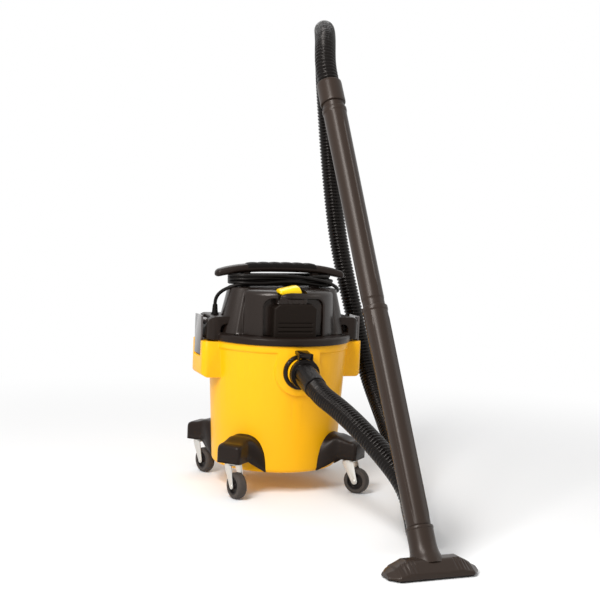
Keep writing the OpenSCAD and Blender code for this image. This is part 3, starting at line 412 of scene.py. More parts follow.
def soften(node, width_mm):
    """A CAD node with its material and with its edges rounded by live modifiers."""
    obj = paint(frame["nodes"][node], NODE_FINISH[node])
    obj.data.polygons.foreach_set("use_smooth", np.ones(len(obj.data.polygons), bool))
    weld = obj.modifiers.new("weld", "WELD")
    weld.merge_threshold = 1e-6
    flat = obj.modifiers.new("flats", "DECIMATE")
    flat.decimate_type, flat.angle_limit = "DISSOLVE", math.radians(0.5)
    edge = obj.modifiers.new("edges", "BEVEL")
    edge.width, edge.segments = width_mm * MM, 2
    edge.limit_method, edge.angle_limit = "ANGLE", math.radians(32)
    edge.harden_normals, edge.use_clamp_overlap = True, False
    return obj


# ---- Sizes and colours a user may change ----

class ShopVacSizes(bpy.types.PropertyGroup):
    """Sizes of the parts that are made here"""
    hose_diameter: FloatProperty(
        name="Hose diameter", description="Outer diameter over the hose's ribs",
        default=0.042, min=0.03, max=0.05, subtype="DISTANCE", unit="LENGTH")
    rib_pitch: FloatProperty(
        name="Rib pitch", description="Distance from one rib of the hose to the next",
        default=0.0075, min=0.004, max=0.012, subtype="DISTANCE", unit="LENGTH")
    rib_depth: FloatProperty(
        name="Rib depth", description="Depth of the groove between the hose's ribs",
        default=0.0028, min=0.001, max=0.004, subtype="DISTANCE", unit="LENGTH")
    cord_diameter: FloatProperty(
        name="Cord diameter", description="Diameter of the power cord",
        default=0.0075, min=0.006, max=0.009, subtype="DISTANCE", unit="LENGTH")
    cord_turns: IntProperty(
        name="Cord turns", description="Turns of the cord round the handle's legs",
        default=5, min=3, max=5)


class ShopVacStage(bpy.types.PropertyGroup):
    """Light of the stage"""
    key_power: FloatProperty(
        name="Key light", description="Power of the main softbox",
        default=33.0, min=0, max=500, subtype="POWER", unit="POWER")
    fill_power: FloatProperty(
        name="Fill light", description="Power of the softbox behind the tank",
        default=11.0, min=0, max=500, subtype="POWER", unit="POWER")
    top_power: FloatProperty(
        name="Top light", description="Power of the softbox above the wands",
        default=27.0, min=0, max=500, subtype="POWER", unit="POWER")
    room_strength: FloatProperty(
        name="Room light", description="Strength of the even light of the room",
        default=0.42, min=0, max=2)
    room_colour: FloatVectorProperty(
        name="Room colour", description="Colour of the room's light",
        default=(1.0, 1.0, 1.0), min=0, max=1, size=3, subtype="COLOR")


# ---- Stage ----

CAMERA_TURN = math.radians(18.2)        # the camera stands this far to the left of straight ahead
CAMERA_AIM = math.radians(19.13)
CAMERA_PITCH = math.radians(4.83)
CAMERA_ROLL = math.radians(2.24)
CAMERA_AWAY, CAMERA_HEIGHT = 2750, 628  # mm from the tank's axis, and above the floor
FLOOR_HALF = 12.0                       # m
SHADOW_FADES = 0.55, 1.9                # m from the frame's origin: where the floor turns white


def seen_directly(tree):
    """1 for what the camera sees, and for what shines back from metal or through glass."""
    rays = add(tree, "ShaderNodeLightPath").outputs
    seen = rays["Is Camera Ray"]
    for kind in ("Is Glossy Ray", "Is Transmission Ray"):
        seen = add(tree, "ShaderNodeMath", {"operation": "MAXIMUM"},
                   {0: seen, 1: rays[kind]}).outputs[0]
    return seen


def light_panel(name, place, target, size, power):
    """A square softbox that faces a target."""
    data = bpy.data.lights.new(name, "AREA")
    data.shape, data.size, data.energy = "SQUARE", size, power
    lamp = bpy.data.objects.new(name, data)
    lamp.location = Vector(place)
    lamp.rotation_mode = "QUATERNION"
    lamp.rotation_quaternion = (Vector(target) - Vector(place)).to_track_quat("-Z", "Y")
    bpy.context.scene.collection.objects.link(lamp)


class SHOPVAC_OT_stage(bpy.types.Operator):
    """Camera, pale floor, white room and four softboxes"""
    bl_idname = "shopvac.stage"
    bl_label = "Stage"

    def floor_material(self):
        """Pale matt floor that keeps the shadow near the object and is plain white further out."""
        material = bpy.data.materials.new("pale_matt_floor")
        material.use_nodes = True
        tree = material.node_tree
        shader = tree.nodes["Principled BSDF"]
        shader.inputs["Base Color"].default_value = (0.94, 0.94, 0.94, 1)
        shader.inputs["Roughness"].default_value = 0.9
        place = add(tree, "ShaderNodeTexCoord").outputs["Object"]
        away = add(tree, "ShaderNodeVectorMath", {"operation": "LENGTH"},
                   {0: place}).outputs["Value"]
        near, far = SHADOW_FADES
        fade = add(tree, "ShaderNodeMapRange",
                   {"interpolation_type": "SMOOTHSTEP", "From Min": near, "From Max": far},
                   {"Value": away}).outputs[0]
        amount = add(tree, "ShaderNodeMath", {"operation": "MULTIPLY"},
                     {0: fade, 1: seen_directly(tree)}).outputs[0]
        white = add(tree, "ShaderNodeEmission", {"Color": (1, 1, 1, 1), "Strength": 1.0}).outputs[0]
        mixed = add(tree, "ShaderNodeMixShader", {},
                    {0: amount, 1: shader.outputs[0], 2: white}).outputs[0]
        tree.links.new(mixed, tree.nodes["Material Output"].inputs["Surface"])
        return material

    def execute(self, context):
        scene, props = context.scene, context.scene.shop_vac_stage
        camera = bpy.data.objects.new("camera", bpy.data.cameras.new("camera"))
        scene.collection.objects.link(camera)
        camera.data.sensor_width, camera.data.lens = 36, 77.1
        camera.data.clip_start, camera.data.clip_end = 0.1, 50
        place = at(-CAMERA_AWAY * math.sin(CAMERA_TURN), -CAMERA_AWAY * math.cos(CAMERA_TURN),
                   CAMERA_HEIGHT)
        ahead = Vector((math.sin(CAMERA_AIM) * math.cos(CAMERA_PITCH),
                        math.cos(CAMERA_AIM) * math.cos(CAMERA_PITCH), -math.sin(CAMERA_PITCH)))
        right = Vector((math.cos(CAMERA_AIM), -math.sin(CAMERA_AIM), 0))
        up = right.cross(ahead)
        across = math.cos(CAMERA_ROLL) * right + math.sin(CAMERA_ROLL) * up
        above = -math.sin(CAMERA_ROLL) * right + math.cos(CAMERA_ROLL) * up
        turn = Matrix((across, above, -ahead)).transposed().to_4x4()
        camera.matrix_world = Matrix.Translation(Vector(place)) @ turn
        scene.camera = camera

        tank, wands = at(0, 0, 300), at(0, -400, 450)
        light_panel("key_softbox", at(-1500, -1500, 1500), tank, 0.6, props.key_power)
        light_panel("fill_softbox", at(1700, -900, 1100), at(0, 0, 350), 0.9,
                    0.3 * props.fill_power)
        light_panel("top_softbox", at(-1100, -1280, 2270), wands, 0.55, props.top_power)
        light_panel("back_softbox", at(300, 1500, 1900), tank, 1.4, props.fill_power)

        world = bpy.data.worlds.new("white_room")
        scene.world, world.use_nodes = world, True
        tree = world.node_tree
        tree.nodes.clear()
        seen = seen_directly(tree)
        room = add(tree, "ShaderNodeBackground",
                   {"Color": (*props.room_colour, 1), "Strength": props.room_strength}).outputs[0]
        white = add(tree, "ShaderNodeBackground",
                    {"Color": (1, 1, 1, 1), "Strength": 1.0}).outputs[0]
        mixed = add(tree, "ShaderNodeMixShader", {}, {0: seen, 1: room, 2: white}).outputs[0]
        add(tree, "ShaderNodeOutputWorld", {}, {"Surface": mixed})

        corners = FLOOR_HALF * np.array([(-1, -1, 0), (1, -1, 0), (1, 1, 0), (-1, 1, 0)])
        floor = finish_mesh("studio_floor", corners, [[0, 1, 2, 3]])
        floor.data.materials.append(self.floor_material())
        scene.view_settings.view_transform = "Standard"
        return {"FINISHED"}


# ---- Cords ----

HOSE_ROUTE = (
    (11, -335, 221), (23, -393, 203), (37, -445, 180), (52, -495, 153), (64, -540, 126),
    (71, -571, 97), (76, -583, 64), (88, -567, 36), (109, -518, 23), (136, -450, 22),
    (165, -370, 23), (192, -295, 33), (212, -220, 58), (223, -148, 92), (228, -85, 132),
    (229.5, -30, 172), (226, 20, 220), (217, 54, 284), (203, 77, 362), (189, 99, 438),
    (178, 121, 512), (171, 141, 588), (165, 156, 664), (158, 164, 740), (149, 161, 812),
    (132, 134, 885), (109, 78, 937), (81, 6, 963), (55, -65, 963), (34, -130, 944),
    (20, -172, 917),
)
HOSE_DROOP = math.radians(14)           # how far the hose's end on the inlet looks down
HOSE_OUT = np.array([0.0, -math.cos(HOSE_DROOP), -math.sin(HOSE_DROOP)])
HOSE_END_START = at(0, -183.2, 260)     # middle of the collar on the inlet
HOSE_END_LENGTH = 72 * MM
HOSE_STRAIGHT = 42 * MM                 # the hose runs straight this far at both ends
HOSE_LIES = 22.2 * MM                   # height of its middle line where it lies on the floor
HOSE_SIDES, RIB_STEPS = 32, 8           # faces round the hose, and points for each rib

# mm: a wand's length, and how far its end is inside the next wand and inside the nozzle's neck
WAND_LENGTH, WAND_INSIDE, NECK_INSIDE = 452, 30, 44
NECK_RIM_S = 2 * WAND_LENGTH - WAND_INSIDE - NECK_INSIDE        # from rim to rim along the wands
NECK_RIM_Z = 69.2
WAND_RIM = at(15, -252, NECK_RIM_Z) + NECK_RIM_S * MM * np.array([0, 0, -WAND_DOWN[2]])


class SHOPVAC_OT_hose(bpy.types.Operator):
    """Ribbed hose from the tank's inlet round the right side and up to the wand"""
    bl_idname = "shopvac.hose"
    bl_label = "Hose"

    def execute(self, context):
        s = context.scene.shop_vac_sizes
        start = HOSE_END_START + HOSE_END_LENGTH * HOSE_OUT
        stop = WAND_RIM - 60 * MM * WAND_DOWN
        route = [start, start + HOSE_STRAIGHT * HOSE_OUT, *[at(*p) for p in HOSE_ROUTE],
                 stop - HOSE_STRAIGHT * WAND_DOWN, stop]
        line = resampled(relaxed(spline(route, 0.01), 6), s.rib_pitch / RIB_STEPS)
        line[:, 2] = np.maximum(line[:, 2], HOSE_LIES)
        run = np.arange(len(line)) / RIB_STEPS          # ribs passed so far
        turn = np.arange(HOSE_SIDES) / HOSE_SIDES
        # radius = crest - depth * groove, where the groove follows a screw line along the hose
        wave = 0.5 - 0.5 * np.cos(2 * math.pi * (run[:, None] + turn[None, :]))
        radius = s.hose_diameter / 2 - s.rib_depth * wave ** 2.2
        hose = tube("ribbed_hose", line, radius, HOSE_SIDES)
        stand_for(hose, "tank", "hose")
        return {"FINISHED"}


LEG_X = 78                              # the handle's legs, left and right of the axis
GLAND_TOP = (-142, 0, 384)
TURN_RADIUS = 34                        # mean radius of the cord's half circles


def wound_line(turns):
    """The cord: up from its gland, round the handle's two legs, and down behind them to its plug.

    A turn is a stadium of two straights and two half circles. Its radius, height and tilt change
    near its end, in the last fifth."""
    radius = np.array([30, 37.5, 30.5, 37.5, 31, 37.5])
    height = np.array([430.5, 431, 438.5, 439, 446, 446])
    tilt = np.array([1.6, -1.6, 1.6, -1.6, 1.6, -1.6])
    # in front each turn wanders: how far it rises and swings out, and where it does so most
    rise = np.array([-0.5, 5.5, -4.5, 4.0, -5.5])
    swing = np.array([-3.5, 4.0, 2.5, 0.0, -1.5])
    place = np.array([-22, 14, 24, -26, 6])
    straight, bend = 2 * LEG_X, math.pi * TURN_RADIUS
    around = 2 * (straight + bend)
    u = np.linspace(0, 1, 49)[:-1]
    s = np.concatenate([(k + u) * around for k in range(turns)])
    lap = np.floor(s / around).astype(int)
    ease = smoothstep(0.78, 0.98, s / around - lap)
    r, z, lean = (v[lap] * (1 - ease) + v[lap + 1] * ease for v in (radius, height, tilt))
    d = s - lap * around
    parts = [d < straight, d < straight + bend, d < 2 * straight + bend]
    a = np.radians(np.select(parts, [np.full_like(d, -90), -90 + 180 * (d - straight) / bend,
                                     np.full_like(d, 90)],
                             90 + 180 * (d - 2 * straight - bend) / bend))
    cx = np.select(parts, [-LEG_X + d, np.full_like(d, LEG_X), LEG_X - (d - straight - bend)],
                   -LEG_X)
    front = smoothstep(74, 8, np.abs(cx - place[lap])) * (d < straight)
    r = r + swing[lap] * front
    x, y = cx + r * np.cos(a), r * np.sin(a)
    z = z + lean * x / 110 + rise[lap] * front
    loops = np.stack([x, y, z], 1)
    lead = [GLAND_TOP, (-142, 0, 392), (-140, -5, 402), (-133, -16, 413), (-120, -27, 422),
            (-101, -31, 428)]
    tail = [(-60, -38, 447.5), (-20, -43, 449), (30, -44, 446.5), (66, -44, 441.5),
            (92, -42.5, 436.5), (112, -36, 428.5), (126, -19, 420), (131.5, 2, 414),
            (129, 24, 413), (120, 44, 418), (106, 59, 426), (90, 67, 433.5), (80, 68, 435.1),
            (70, 68, 435.1)]
    return np.concatenate([lead, loops[1:], tail])


class SHOPVAC_OT_power_cord(bpy.types.Operator):
    """Power cord wound round the legs of the carry handle"""
    bl_idname = "shopvac.power_cord"
    bl_label = "Power cord"

    def execute(self, context):
        s = context.scene.shop_vac_sizes
        line = np.array([at(*p) for p in wound_line(s.cord_turns)])
        line = resampled(relaxed(spline(line, 0.004), 4), 0.003)
        cord = tube("power_cord", line, s.cord_diameter / 2, 12)
        stand_for(cord, "head", "cord_lead", "cord_coil", "cord_tail")
        plug = soften("plug", 0.8)
        soften("cord_gland", 0.4)
        return {"FINISHED"}


# ---- Drum ----

FOOT_IN, FOOT_OUT, FOOT_EDGE = 134, 205, 8      # mm from the tank's axis; the rounding at the end
FOOT_TURNS = 225, 315, 135, 45                  # degrees, in the order of CORNERS
CASTER_AWAY, CASTER_TOP = 181, 73               # mm: a caster's stem from the axis, and its height
FOOT_WALL, COVER_WALL, NOZZLE_WALL = 3.2, 2.6, 2.6


def drum_radius(z):
    """Radius of the drum's outer wall at a height, in mm."""
    return FOOT_IN + 13.5 * (z - 55) / 240


class SHOPVAC_OT_feet(bpy.types.Operator):
    """Four feet, each a shell that leaves the drum as an arch and ends as a box over its caster"""
    bl_idname = "shopvac.feet"
    bl_label = "Feet"

    def execute(self, context):
        # u runs from the drum (0) to the outer end (1); a runs over the top from edge to edge
        rounding = 0.86 + 0.14 * np.sin(np.linspace(0.1, 1, 9) * math.pi / 2)
        u = np.concatenate([np.linspace(0, 0.86, 34), rounding])[:, None]
        a = np.linspace(0, math.pi, 61)
        reach = FOOT_IN + (FOOT_OUT - FOOT_IN) * u
        end = np.clip((reach - (FOOT_OUT - FOOT_EDGE)) / FOOT_EDGE, 0, 1)
        inset = FOOT_EDGE * (1 - np.sqrt(1 - end ** 2))
        width = 27 + 20 * (1 - smoothstep(132, 170, reach)) - 0.8 * inset
        top = 124 - 3 * smoothstep(134, 150, reach) - 9 * smoothstep(150, 190, reach) \
            - 3 * smoothstep(190, 205, reach) - 0.5 * inset
        under = 47 + 26 * np.clip((reach - 136) / 30, 0, 1)
        power = 2 / (2.6 + 5.4 * smoothstep(136, 182, reach))       # from an arch to a box
        y = width * squared(np.cos(a), power)
        z = under + (top - under) * np.abs(np.sin(a)) ** power
        drum = np.sqrt((drum_radius(z) - 1.2) ** 2 - y ** 2)
        x = reach + (drum - FOOT_IN) * (1 - u) ** 2
        for corner, turn in zip(CORNERS, FOOT_TURNS):
            c, s = math.cos(math.radians(turn)), math.sin(math.radians(turn))
            grid = placed(c * x - s * y, s * x + c * y, z)
            shell = walled(skin("foot_shell_" + corner, grid, wrap_cols=False, ends=LAST_END,
                                sharp=50), FOOT_WALL)
            bore = np.array([(4.1, 0), (11, 0), (11, 30), (4.1, 30)]) * MM
            boss = revolve("foot_boss_" + corner, bore,
                           at(CASTER_AWAY * c, CASTER_AWAY * s, CASTER_TOP), steps=40)
            stand_for(shell, "tank", "foot_" + corner)
            paint(boss, "moulded_black_pp")
            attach(boss, "tank")
        return {"FINISHED"}


class SHOPVAC_OT_casters(bpy.types.Operator):
    """Tyres with a rounded tread and dished hubs; forks and rivets keep their solids"""
    bl_idname = "shopvac.casters"
    bl_label = "Casters"

    def execute(self, context):
        tyre = filleted([(17.9, -9.6), (22, -10), (24.6, -9.6), (27, -5.5), (27, 5.5), (24.6, 9.6),
                         (22, 10), (17.9, 9.6)], [0, 1, 2.4, 3, 3, 2.4, 1, 0], 6)
        hub = filleted([(2.6, -9.4), (6, -9.4), (6.6, -5), (14.5, -4.5), (15.5, -9), (18, -9),
                        (18, 9), (15.5, 9), (14.5, 4.5), (6.6, 5), (6, 9.4), (2.6, 9.4)],
                       [0, 0.8, 1.5, 1.5, 0.8, 0.8, 0.8, 0.8, 1.5, 1.5, 0.8, 0], 4)
        for corner in CORNERS:
            axle = joint("roll_" + corner)
            for part, profile in (("tyre_", tyre), ("hub_", hub)):
                made = revolve(part + corner + "_round", profile * MM, axle["pos_m"],
                               axle["axis"], steps=72, sharp=50)
                stand_for(made, "wheel_" + corner, part + corner)
            soften("fork_" + corner, 0.5)
            soften("axle_" + corner, 0.3)
        return {"FINISHED"}


# ---- Head ----

RECESS_HALF, RECESS_TOP, RECESS_CORNER, RECESS_Y = 65, 405.3, 18, 92
LOBE_ANGLE = 56                         # degrees from straight ahead: where each front lobe ends
SWITCH_X, SWITCH_Y = -8, -86
SWITCH_FLOOR = 396                      # bottom of the pocket that the paddle rocks in
DENSE_TURN, DENSE_RISE = 70, 128        # degrees and mm: where the cover's grid is fine


def recess_depth(x, z):
    """How far a point lies inside the arched recess, in mm.

    Half its width less |x|, cut by a round upper corner."""
    dx = np.abs(x) - (RECESS_HALF - RECESS_CORNER)
    dz = z - (RECESS_TOP - RECESS_CORNER)
    outside = np.hypot(np.maximum(dx, 0), np.maximum(dz, 0)) + np.minimum(np.maximum(dx, dz), 0)
    return RECESS_CORNER - outside


class SHOPVAC_OT_motor_cover(bpy.types.Operator):
    """Domed motor cover: two front lobes beside an arched recess, and sloping flanks behind them"""
    bl_idname = "shopvac.motor_cover"
    bl_label = "Motor cover"

    def execute(self, context):
        cover_z, top_z = COVER_Z / MM, TOP_Z / MM
        profile = filleted([(122, cover_z), (119, top_z - 26), (117.5, top_z), (60, top_z),
                            (0.5, top_z)], [0, 4, 25, 10, 0], 16)
        s = np.concatenate([[0], np.cumsum(np.hypot(*np.diff(profile, axis=0).T))])
        rows = np.concatenate([np.arange(0, DENSE_RISE, 1.25), np.linspace(DENSE_RISE, s[-1], 24)])
        r, z = (np.interp(rows, s, profile[:, k])[:, None] for k in (0, 1))
        front = np.linspace(-DENSE_TURN, DENSE_TURN, 311)
        rest = np.linspace(DENSE_TURN, 360 - DENSE_TURN, 71)[1:-1]
        turn = np.concatenate([front, rest])[None, :]       # degrees from -Y towards +X
        side = np.abs(turn)
        # radius = the lobe's, or beyond it a cone that swells at the sides, less an upright groove
        behind = smoothstep(LOBE_ANGLE - 0.6, LOBE_ANGLE + 1.4, side) * np.ones_like(r)
        swell = 0.9 + 0.1 * smoothstep(LOBE_ANGLE, 74, side)
        fade = 1 - 0.17 * smoothstep(72, 125, np.minimum(side, 360 - side))
        flank = (145 - 0.25 * (z - cover_z)) * swell * fade
        flank = -6 * np.log(np.exp(-r * 1.22 / 6) + np.exp(-flank / 6))
        r = r + behind * (flank - r)
        groove = 3.4 * np.exp(-((side - LOBE_ANGLE - 1) / 1.5) ** 2)
        r = r - groove * smoothstep(top_z - 1, top_z - 22, z) * smoothstep(cover_z - 1,
                                                                           cover_z + 5, z)
        a = np.radians(turn)
        x, y = r * np.sin(a), -r * np.cos(a)
        # the recess: its lip rolls in over 6 mm, then its flat back stands at RECESS_Y
        depth = recess_depth(x, z)
        y = y + 2.4 * np.clip((depth + 6) / 6, 0, 1) ** 2 * (y < -60)
        y = y + smoothstep(-0.2, 1.2, depth) * (y < -RECESS_Y) * (-RECESS_Y - y)
        pocket = smoothstep(31.5, 30, np.abs(x - SWITCH_X)) \
            * smoothstep(22.3, 20.6, np.abs(y - SWITCH_Y + 5))
        z = z - pocket * (z > SWITCH_FLOOR) * (z - SWITCH_FLOOR)
        cover = skin("motor_cover", placed(x, y, z), ends=LAST_END, sharp=60)
        stand_for(walled(cover, COVER_WALL), "head", "head_cover")
        return {"FINISHED"}


def height_field(name, x, z, height, y_back, sharp):
    """A moulded plate that faces -Y: P = (x, -height(x, z), z), closed behind by a flat rim."""
    grid = placed(x, -height, z)
    rim = np.concatenate([grid[0], grid[1:, -1], grid[-1, -2::-1], grid[-2:0:-1, 0]])
    back = rim.copy()
    back[:, 1] = AXIS_Y - y_back * MM
    plate = skin(name, grid, wrap_cols=False, ends=NO_END, flip=True)
    edge = skin("edge", np.stack([rim, back]), ends=NO_END, flip=True)
    return join(name, [plate, edge], sharp)


class SHOPVAC_OT_front_panel(bpy.types.Operator):
    """Plate in the recess, with cut upper corners, rounded edges and three low ribs"""
    bl_idname = "shopvac.front_panel"
    bl_label = "Front panel"

    def execute(self, context):
        low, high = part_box("front_panel")
        half, foot, tall = high.x / MM - 0.3, low.z / MM + 0.2, (high.z - low.z) / MM - 0.6
        face = -(low.y - AXIS_Y) / MM - 0.2
        u = np.linspace(-1, 1, 141)[None, :]
        v = np.linspace(0, 1, 121)[:, None]
        top = tall - 9 * np.clip((np.abs(u) * half - half + 12) / 12, 0, 1)
        x, z = u * half * np.ones_like(v), v * top
        # the face falls away round the plate's edge in a quarter circle of 4 mm
        edge = np.minimum(np.minimum(half - np.abs(x), (top - z) * 0.86), 4) / 4
        height = face - 4 * (1 - np.sqrt(np.clip(1 - (1 - edge) ** 2, 0, 1)))
        for k in range(3):
            rib = np.exp(-((z - 9.5 - 9 * k) / 1.5) ** 4)
            height = height - 1.4 * rib * smoothstep(half - 8, half - 11, np.abs(x))
        plate = height_field("panel_plate", x, z + foot, height, RECESS_Y + 0.3, sharp=50)
        stand_for(plate, "head", "front_panel")
        return {"FINISHED"}


class SHOPVAC_OT_switch(bpy.types.Operator):
    """Rocker paddle, low and pointed at its left end and tall at its right, with soft edges"""
    bl_idname = "shopvac.switch"
    bl_label = "Switch"

    def execute(self, context):
        pivot = np.array([SWITCH_X * MM, middle("switch_paddle").y, TOP_Z - 14 * MM])
        x = 24.6 * np.sin(np.linspace(-1, 1, 81) * math.pi / 2)
        top = np.interp(x, [-24.6, -23, -19, 9, 16, 19.5, 23.5, 24.6],
                        [10.6, 14.6, 16.2, 22.6, 23.2, 22.4, 15.5, 9.5])
        under = np.interp(x, [-24.6, -22, -17, -6, 6, 24, 24.6],
                          [7.0, 4.5, 1.2, -3.6, -3.6, 2.4, 4.0])
        cos, sin = circle(48)
        mid, tall = ((top + under) / 2)[:, None], ((top - under) / 2)[:, None]
        wide = 11.8 - 1.6 * np.clip((np.abs(x) - 21) / 3.6, 0, 1)[:, None] ** 2
        y = wide * squared(cos, 0.42)
        z = mid + tall * squared(sin, 0.36)
        # the face slopes towards the front, whose half reaches out over the cover's round edge
        z = z - 0.30 * (y < 0) * np.abs(y) * (sin > 0)
        y = y * np.where(y < 0, 1.5, 1.0)
        grid = np.stack([np.broadcast_to(x[:, None], y.shape), y, z], -1) * MM + pivot
        paddle = skin("rocker_paddle", grid, sharp=60, flip=True)
        stand_for(paddle, "switch_paddle", "switch_paddle")
        return {"FINISHED"}


BAR_Z, BAR_DROOP = 463.8, 15            # the bar's middle height, and how far its ends hang down
BAR_WIDE, BAR_TALL, BAR_POWER = 16, 9.5, 0.72   # half width, half height, and how round it is
GRIP_HALF, GRIP_END = 77, 2.5           # half the grip's length, and the rounding at its ends
GRIP_PROUD, FINGER_BUMPS = 0.9, 6


def bar_line(x, half):
    """Height of the bar's middle line: level in the middle, drooping with the cube of x."""
    return BAR_Z - BAR_DROOP * (np.abs(x[:, None]) / half) ** 3


class SHOPVAC_OT_handle(bpy.types.Operator):
    """Carry handle: a rounded bar that droops to blunt ends, on two legs, under a bumped grip"""
    bl_idname = "shopvac.handle"
    bl_label = "Carry handle"

    def bar(self, half):
        """The bar: a superellipse carried along its line, narrower and rounded at the ends."""
        x = half * np.sin(np.linspace(-math.pi / 2, math.pi / 2, 121))
        x = np.sign(x) * np.minimum(np.abs(x), half - 0.05)
        blunt = np.sqrt(np.clip(1 - (np.clip(np.abs(x) - half + 9, 0, 9) / 9) ** 2, 0.02, 1))
        wide = (BAR_WIDE * (1 - 0.2 * (np.abs(x) / half) ** 6) * blunt)[:, None]
        tall = (BAR_TALL * (1 - 0.16 * (np.abs(x) / half) ** 6) * blunt)[:, None]
        cos, sin = circle(48)
        y = wide * squared(cos, BAR_POWER)
        z = bar_line(x, half) + tall * squared(sin, BAR_POWER)
        return skin("handle_bar", placed(x[:, None], y, z), flip=True)

    def leg(self, side):
        """A leg: a rounded box that flares at its foot and under the bar."""
        cos, sin = circle(32)
        h = np.array([423.45, 424.5, 428, 436, 446, 456, 461])[:, None]
        flare = 1 + 0.16 * smoothstep(430, 423, h) + 0.2 * smoothstep(446, 460, h)
        x = side * LEG_X + 9.6 * flare * squared(cos, 0.7)
        return skin("leg", placed(x, 10.6 * squared(sin, 0.7), h))

    def grip(self, half):
        """The grip: the bar's upper half, a little proud, with a row of finger bumps."""
        x = np.linspace(-GRIP_HALF, GRIP_HALF, 181)
        along = (x + GRIP_HALF) / (2 * GRIP_HALF)
        bump = 1.6 * np.abs(np.sin(math.pi * along * FINGER_BUMPS)) ** 0.6
        into_end = np.clip(np.abs(x) - (GRIP_HALF - GRIP_END), 0, GRIP_END) / GRIP_END
        edge = np.sqrt(np.clip(1 - into_end ** 2, 0.0, 1))
        a = np.linspace(0.06, math.pi - 0.06, 41)
        cos, sin = np.cos(a), np.sin(a)
        over = (GRIP_PROUD * edge)[:, None]
        y = (BAR_WIDE + 0.1 + over) * squared(cos, BAR_POWER)
        rise = BAR_TALL + over + (bump * edge)[:, None] * sin ** 2
        z = bar_line(x, half) + rise * sin ** BAR_POWER
        top = placed(x[:, None], y, z)
        under = placed(x[:, None], 0.9 * y, bar_line(x, half) + 1.0)
        loop = np.concatenate([top, under[:, ::-1]], 1)
        return skin("handle_grip_bumps", loop, sharp=55, flip=True)

    def execute(self, context):
        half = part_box("carry_handle")[1].x / MM
        parts = [self.bar(half), self.leg(-1), self.leg(1)]
        stand_for(join("handle_moulding", parts, sharp=60), "head", "carry_handle")
        stand_for(self.grip(half), "head", "handle_grip")
        return {"FINISHED"}


# ---- Wands and nozzle ----

def on_wand(x, y, s):
    """A point by the wands' line, in mm: x across, y off it in its plane, s down from the rim."""
    across = unit(np.cross(WAND_DOWN, [0, 0, 1]))
    off = np.cross(WAND_DOWN, across)
    x, y, s = (np.asarray(v, float)[..., None] * MM for v in (x, y, s))
    return WAND_RIM + x * across + y * off + s * WAND_DOWN


def round_wand(name, start, spines):
    """A tapered tube with a lip at its rim and fine raised spines along it.

    radius(s, a) = taper(s) + lip(s) + spine height * bell curve of the angle from each spine"""
    end = WAND_LENGTH
    s = np.concatenate([[0, 0.6, 1.4], np.linspace(6.4, 9.5, 4), np.linspace(12, end - 50, 26),
                        [end - 47.5, end - 46.0, end - 45.4, end - 40, end - 1.5, end]])
    taper = np.interp(s, [0, 0.6, 1.4, 6.4, 8.6, 9.5, end - 46.1, end - 45.3, end - 1, end],
                      [23.2, 23.7, 23.8, 23.8, 23.5, 22.7, 21.0, 20.35, 20.1, 19.4])
    a = np.linspace(0, 2 * math.pi, 96, endpoint=False)
    r = taper[:, None] * np.ones(len(a))
    on = (smoothstep(16, 26, s) * smoothstep(end - 52, end - 60, s))[:, None]
    for spine in spines:
        turn = np.angle(np.exp(1j * (a - math.radians(spine))))
        r += 1.3 * on * np.exp(-(turn / 0.055) ** 2)
    outer = on_wand(r * np.cos(a), r * np.sin(a), s[:, None] + start)
    bore_s = np.array([end, end - 2, WAND_INSIDE + 1.0, WAND_INSIDE + 0.4, 1.0, 0])[:, None]
    bore_r = np.array([18.35, 18.35, 18.35, 20.6, 20.6, 21.4])[:, None]
    inner = on_wand(bore_r * np.cos(a), bore_r * np.sin(a), bore_s + start)
    return skin(name, np.concatenate([outer, inner]), wrap_rows=True, ends=NO_END,
                sharp=45, flip=True)


class SHOPVAC_OT_wands(bpy.types.Operator):
    """Two tapered wands and the cuff at the hose's end"""
    bl_idname = "shopvac.wands"
    bl_label = "Wands"

    def execute(self, context):
        upper = round_wand("upper_wand_tube", 0, (100, 262))
        stand_for(upper, "upper_wand", "upper_wand")
        lower = round_wand("lower_wand_tube", WAND_LENGTH - WAND_INSIDE, (225, 318))
        stand_for(lower, "lower_wand", "lower_wand")
        profile = filleted([(17.85, 28), (20.3, 28), (20.35, -11.6), (24.6, -12.2), (25, -16),
                            (24.6, -56), (24, -60.4), (21.6, -60.4), (21.2, -50), (17.85, -48)],
                           [0, 0.6, 0.6, 1.5, 1.5, 2, 1.5, 1, 1, 0], 4)
        cos, sin = circle(96)
        grid = on_wand(profile[:, :1] * cos, profile[:, :1] * sin, profile[:, 1:])
        cuff = skin("wand_cuff", grid, wrap_rows=True, ends=NO_END, sharp=45)
        stand_for(cuff, "tank", "hose_cuff")
        return {"FINISHED"}


NOZZLE_W, NOZZLE_D, NOZZLE_TOE = 169, 58, 50    # toe: from the wands' axis to the front edge
NOZZLE_AXIS_Z = 25                              # height at which the toe is measured
NECK_FOOT_Z = 7                                 # the neck ends at this height inside the body


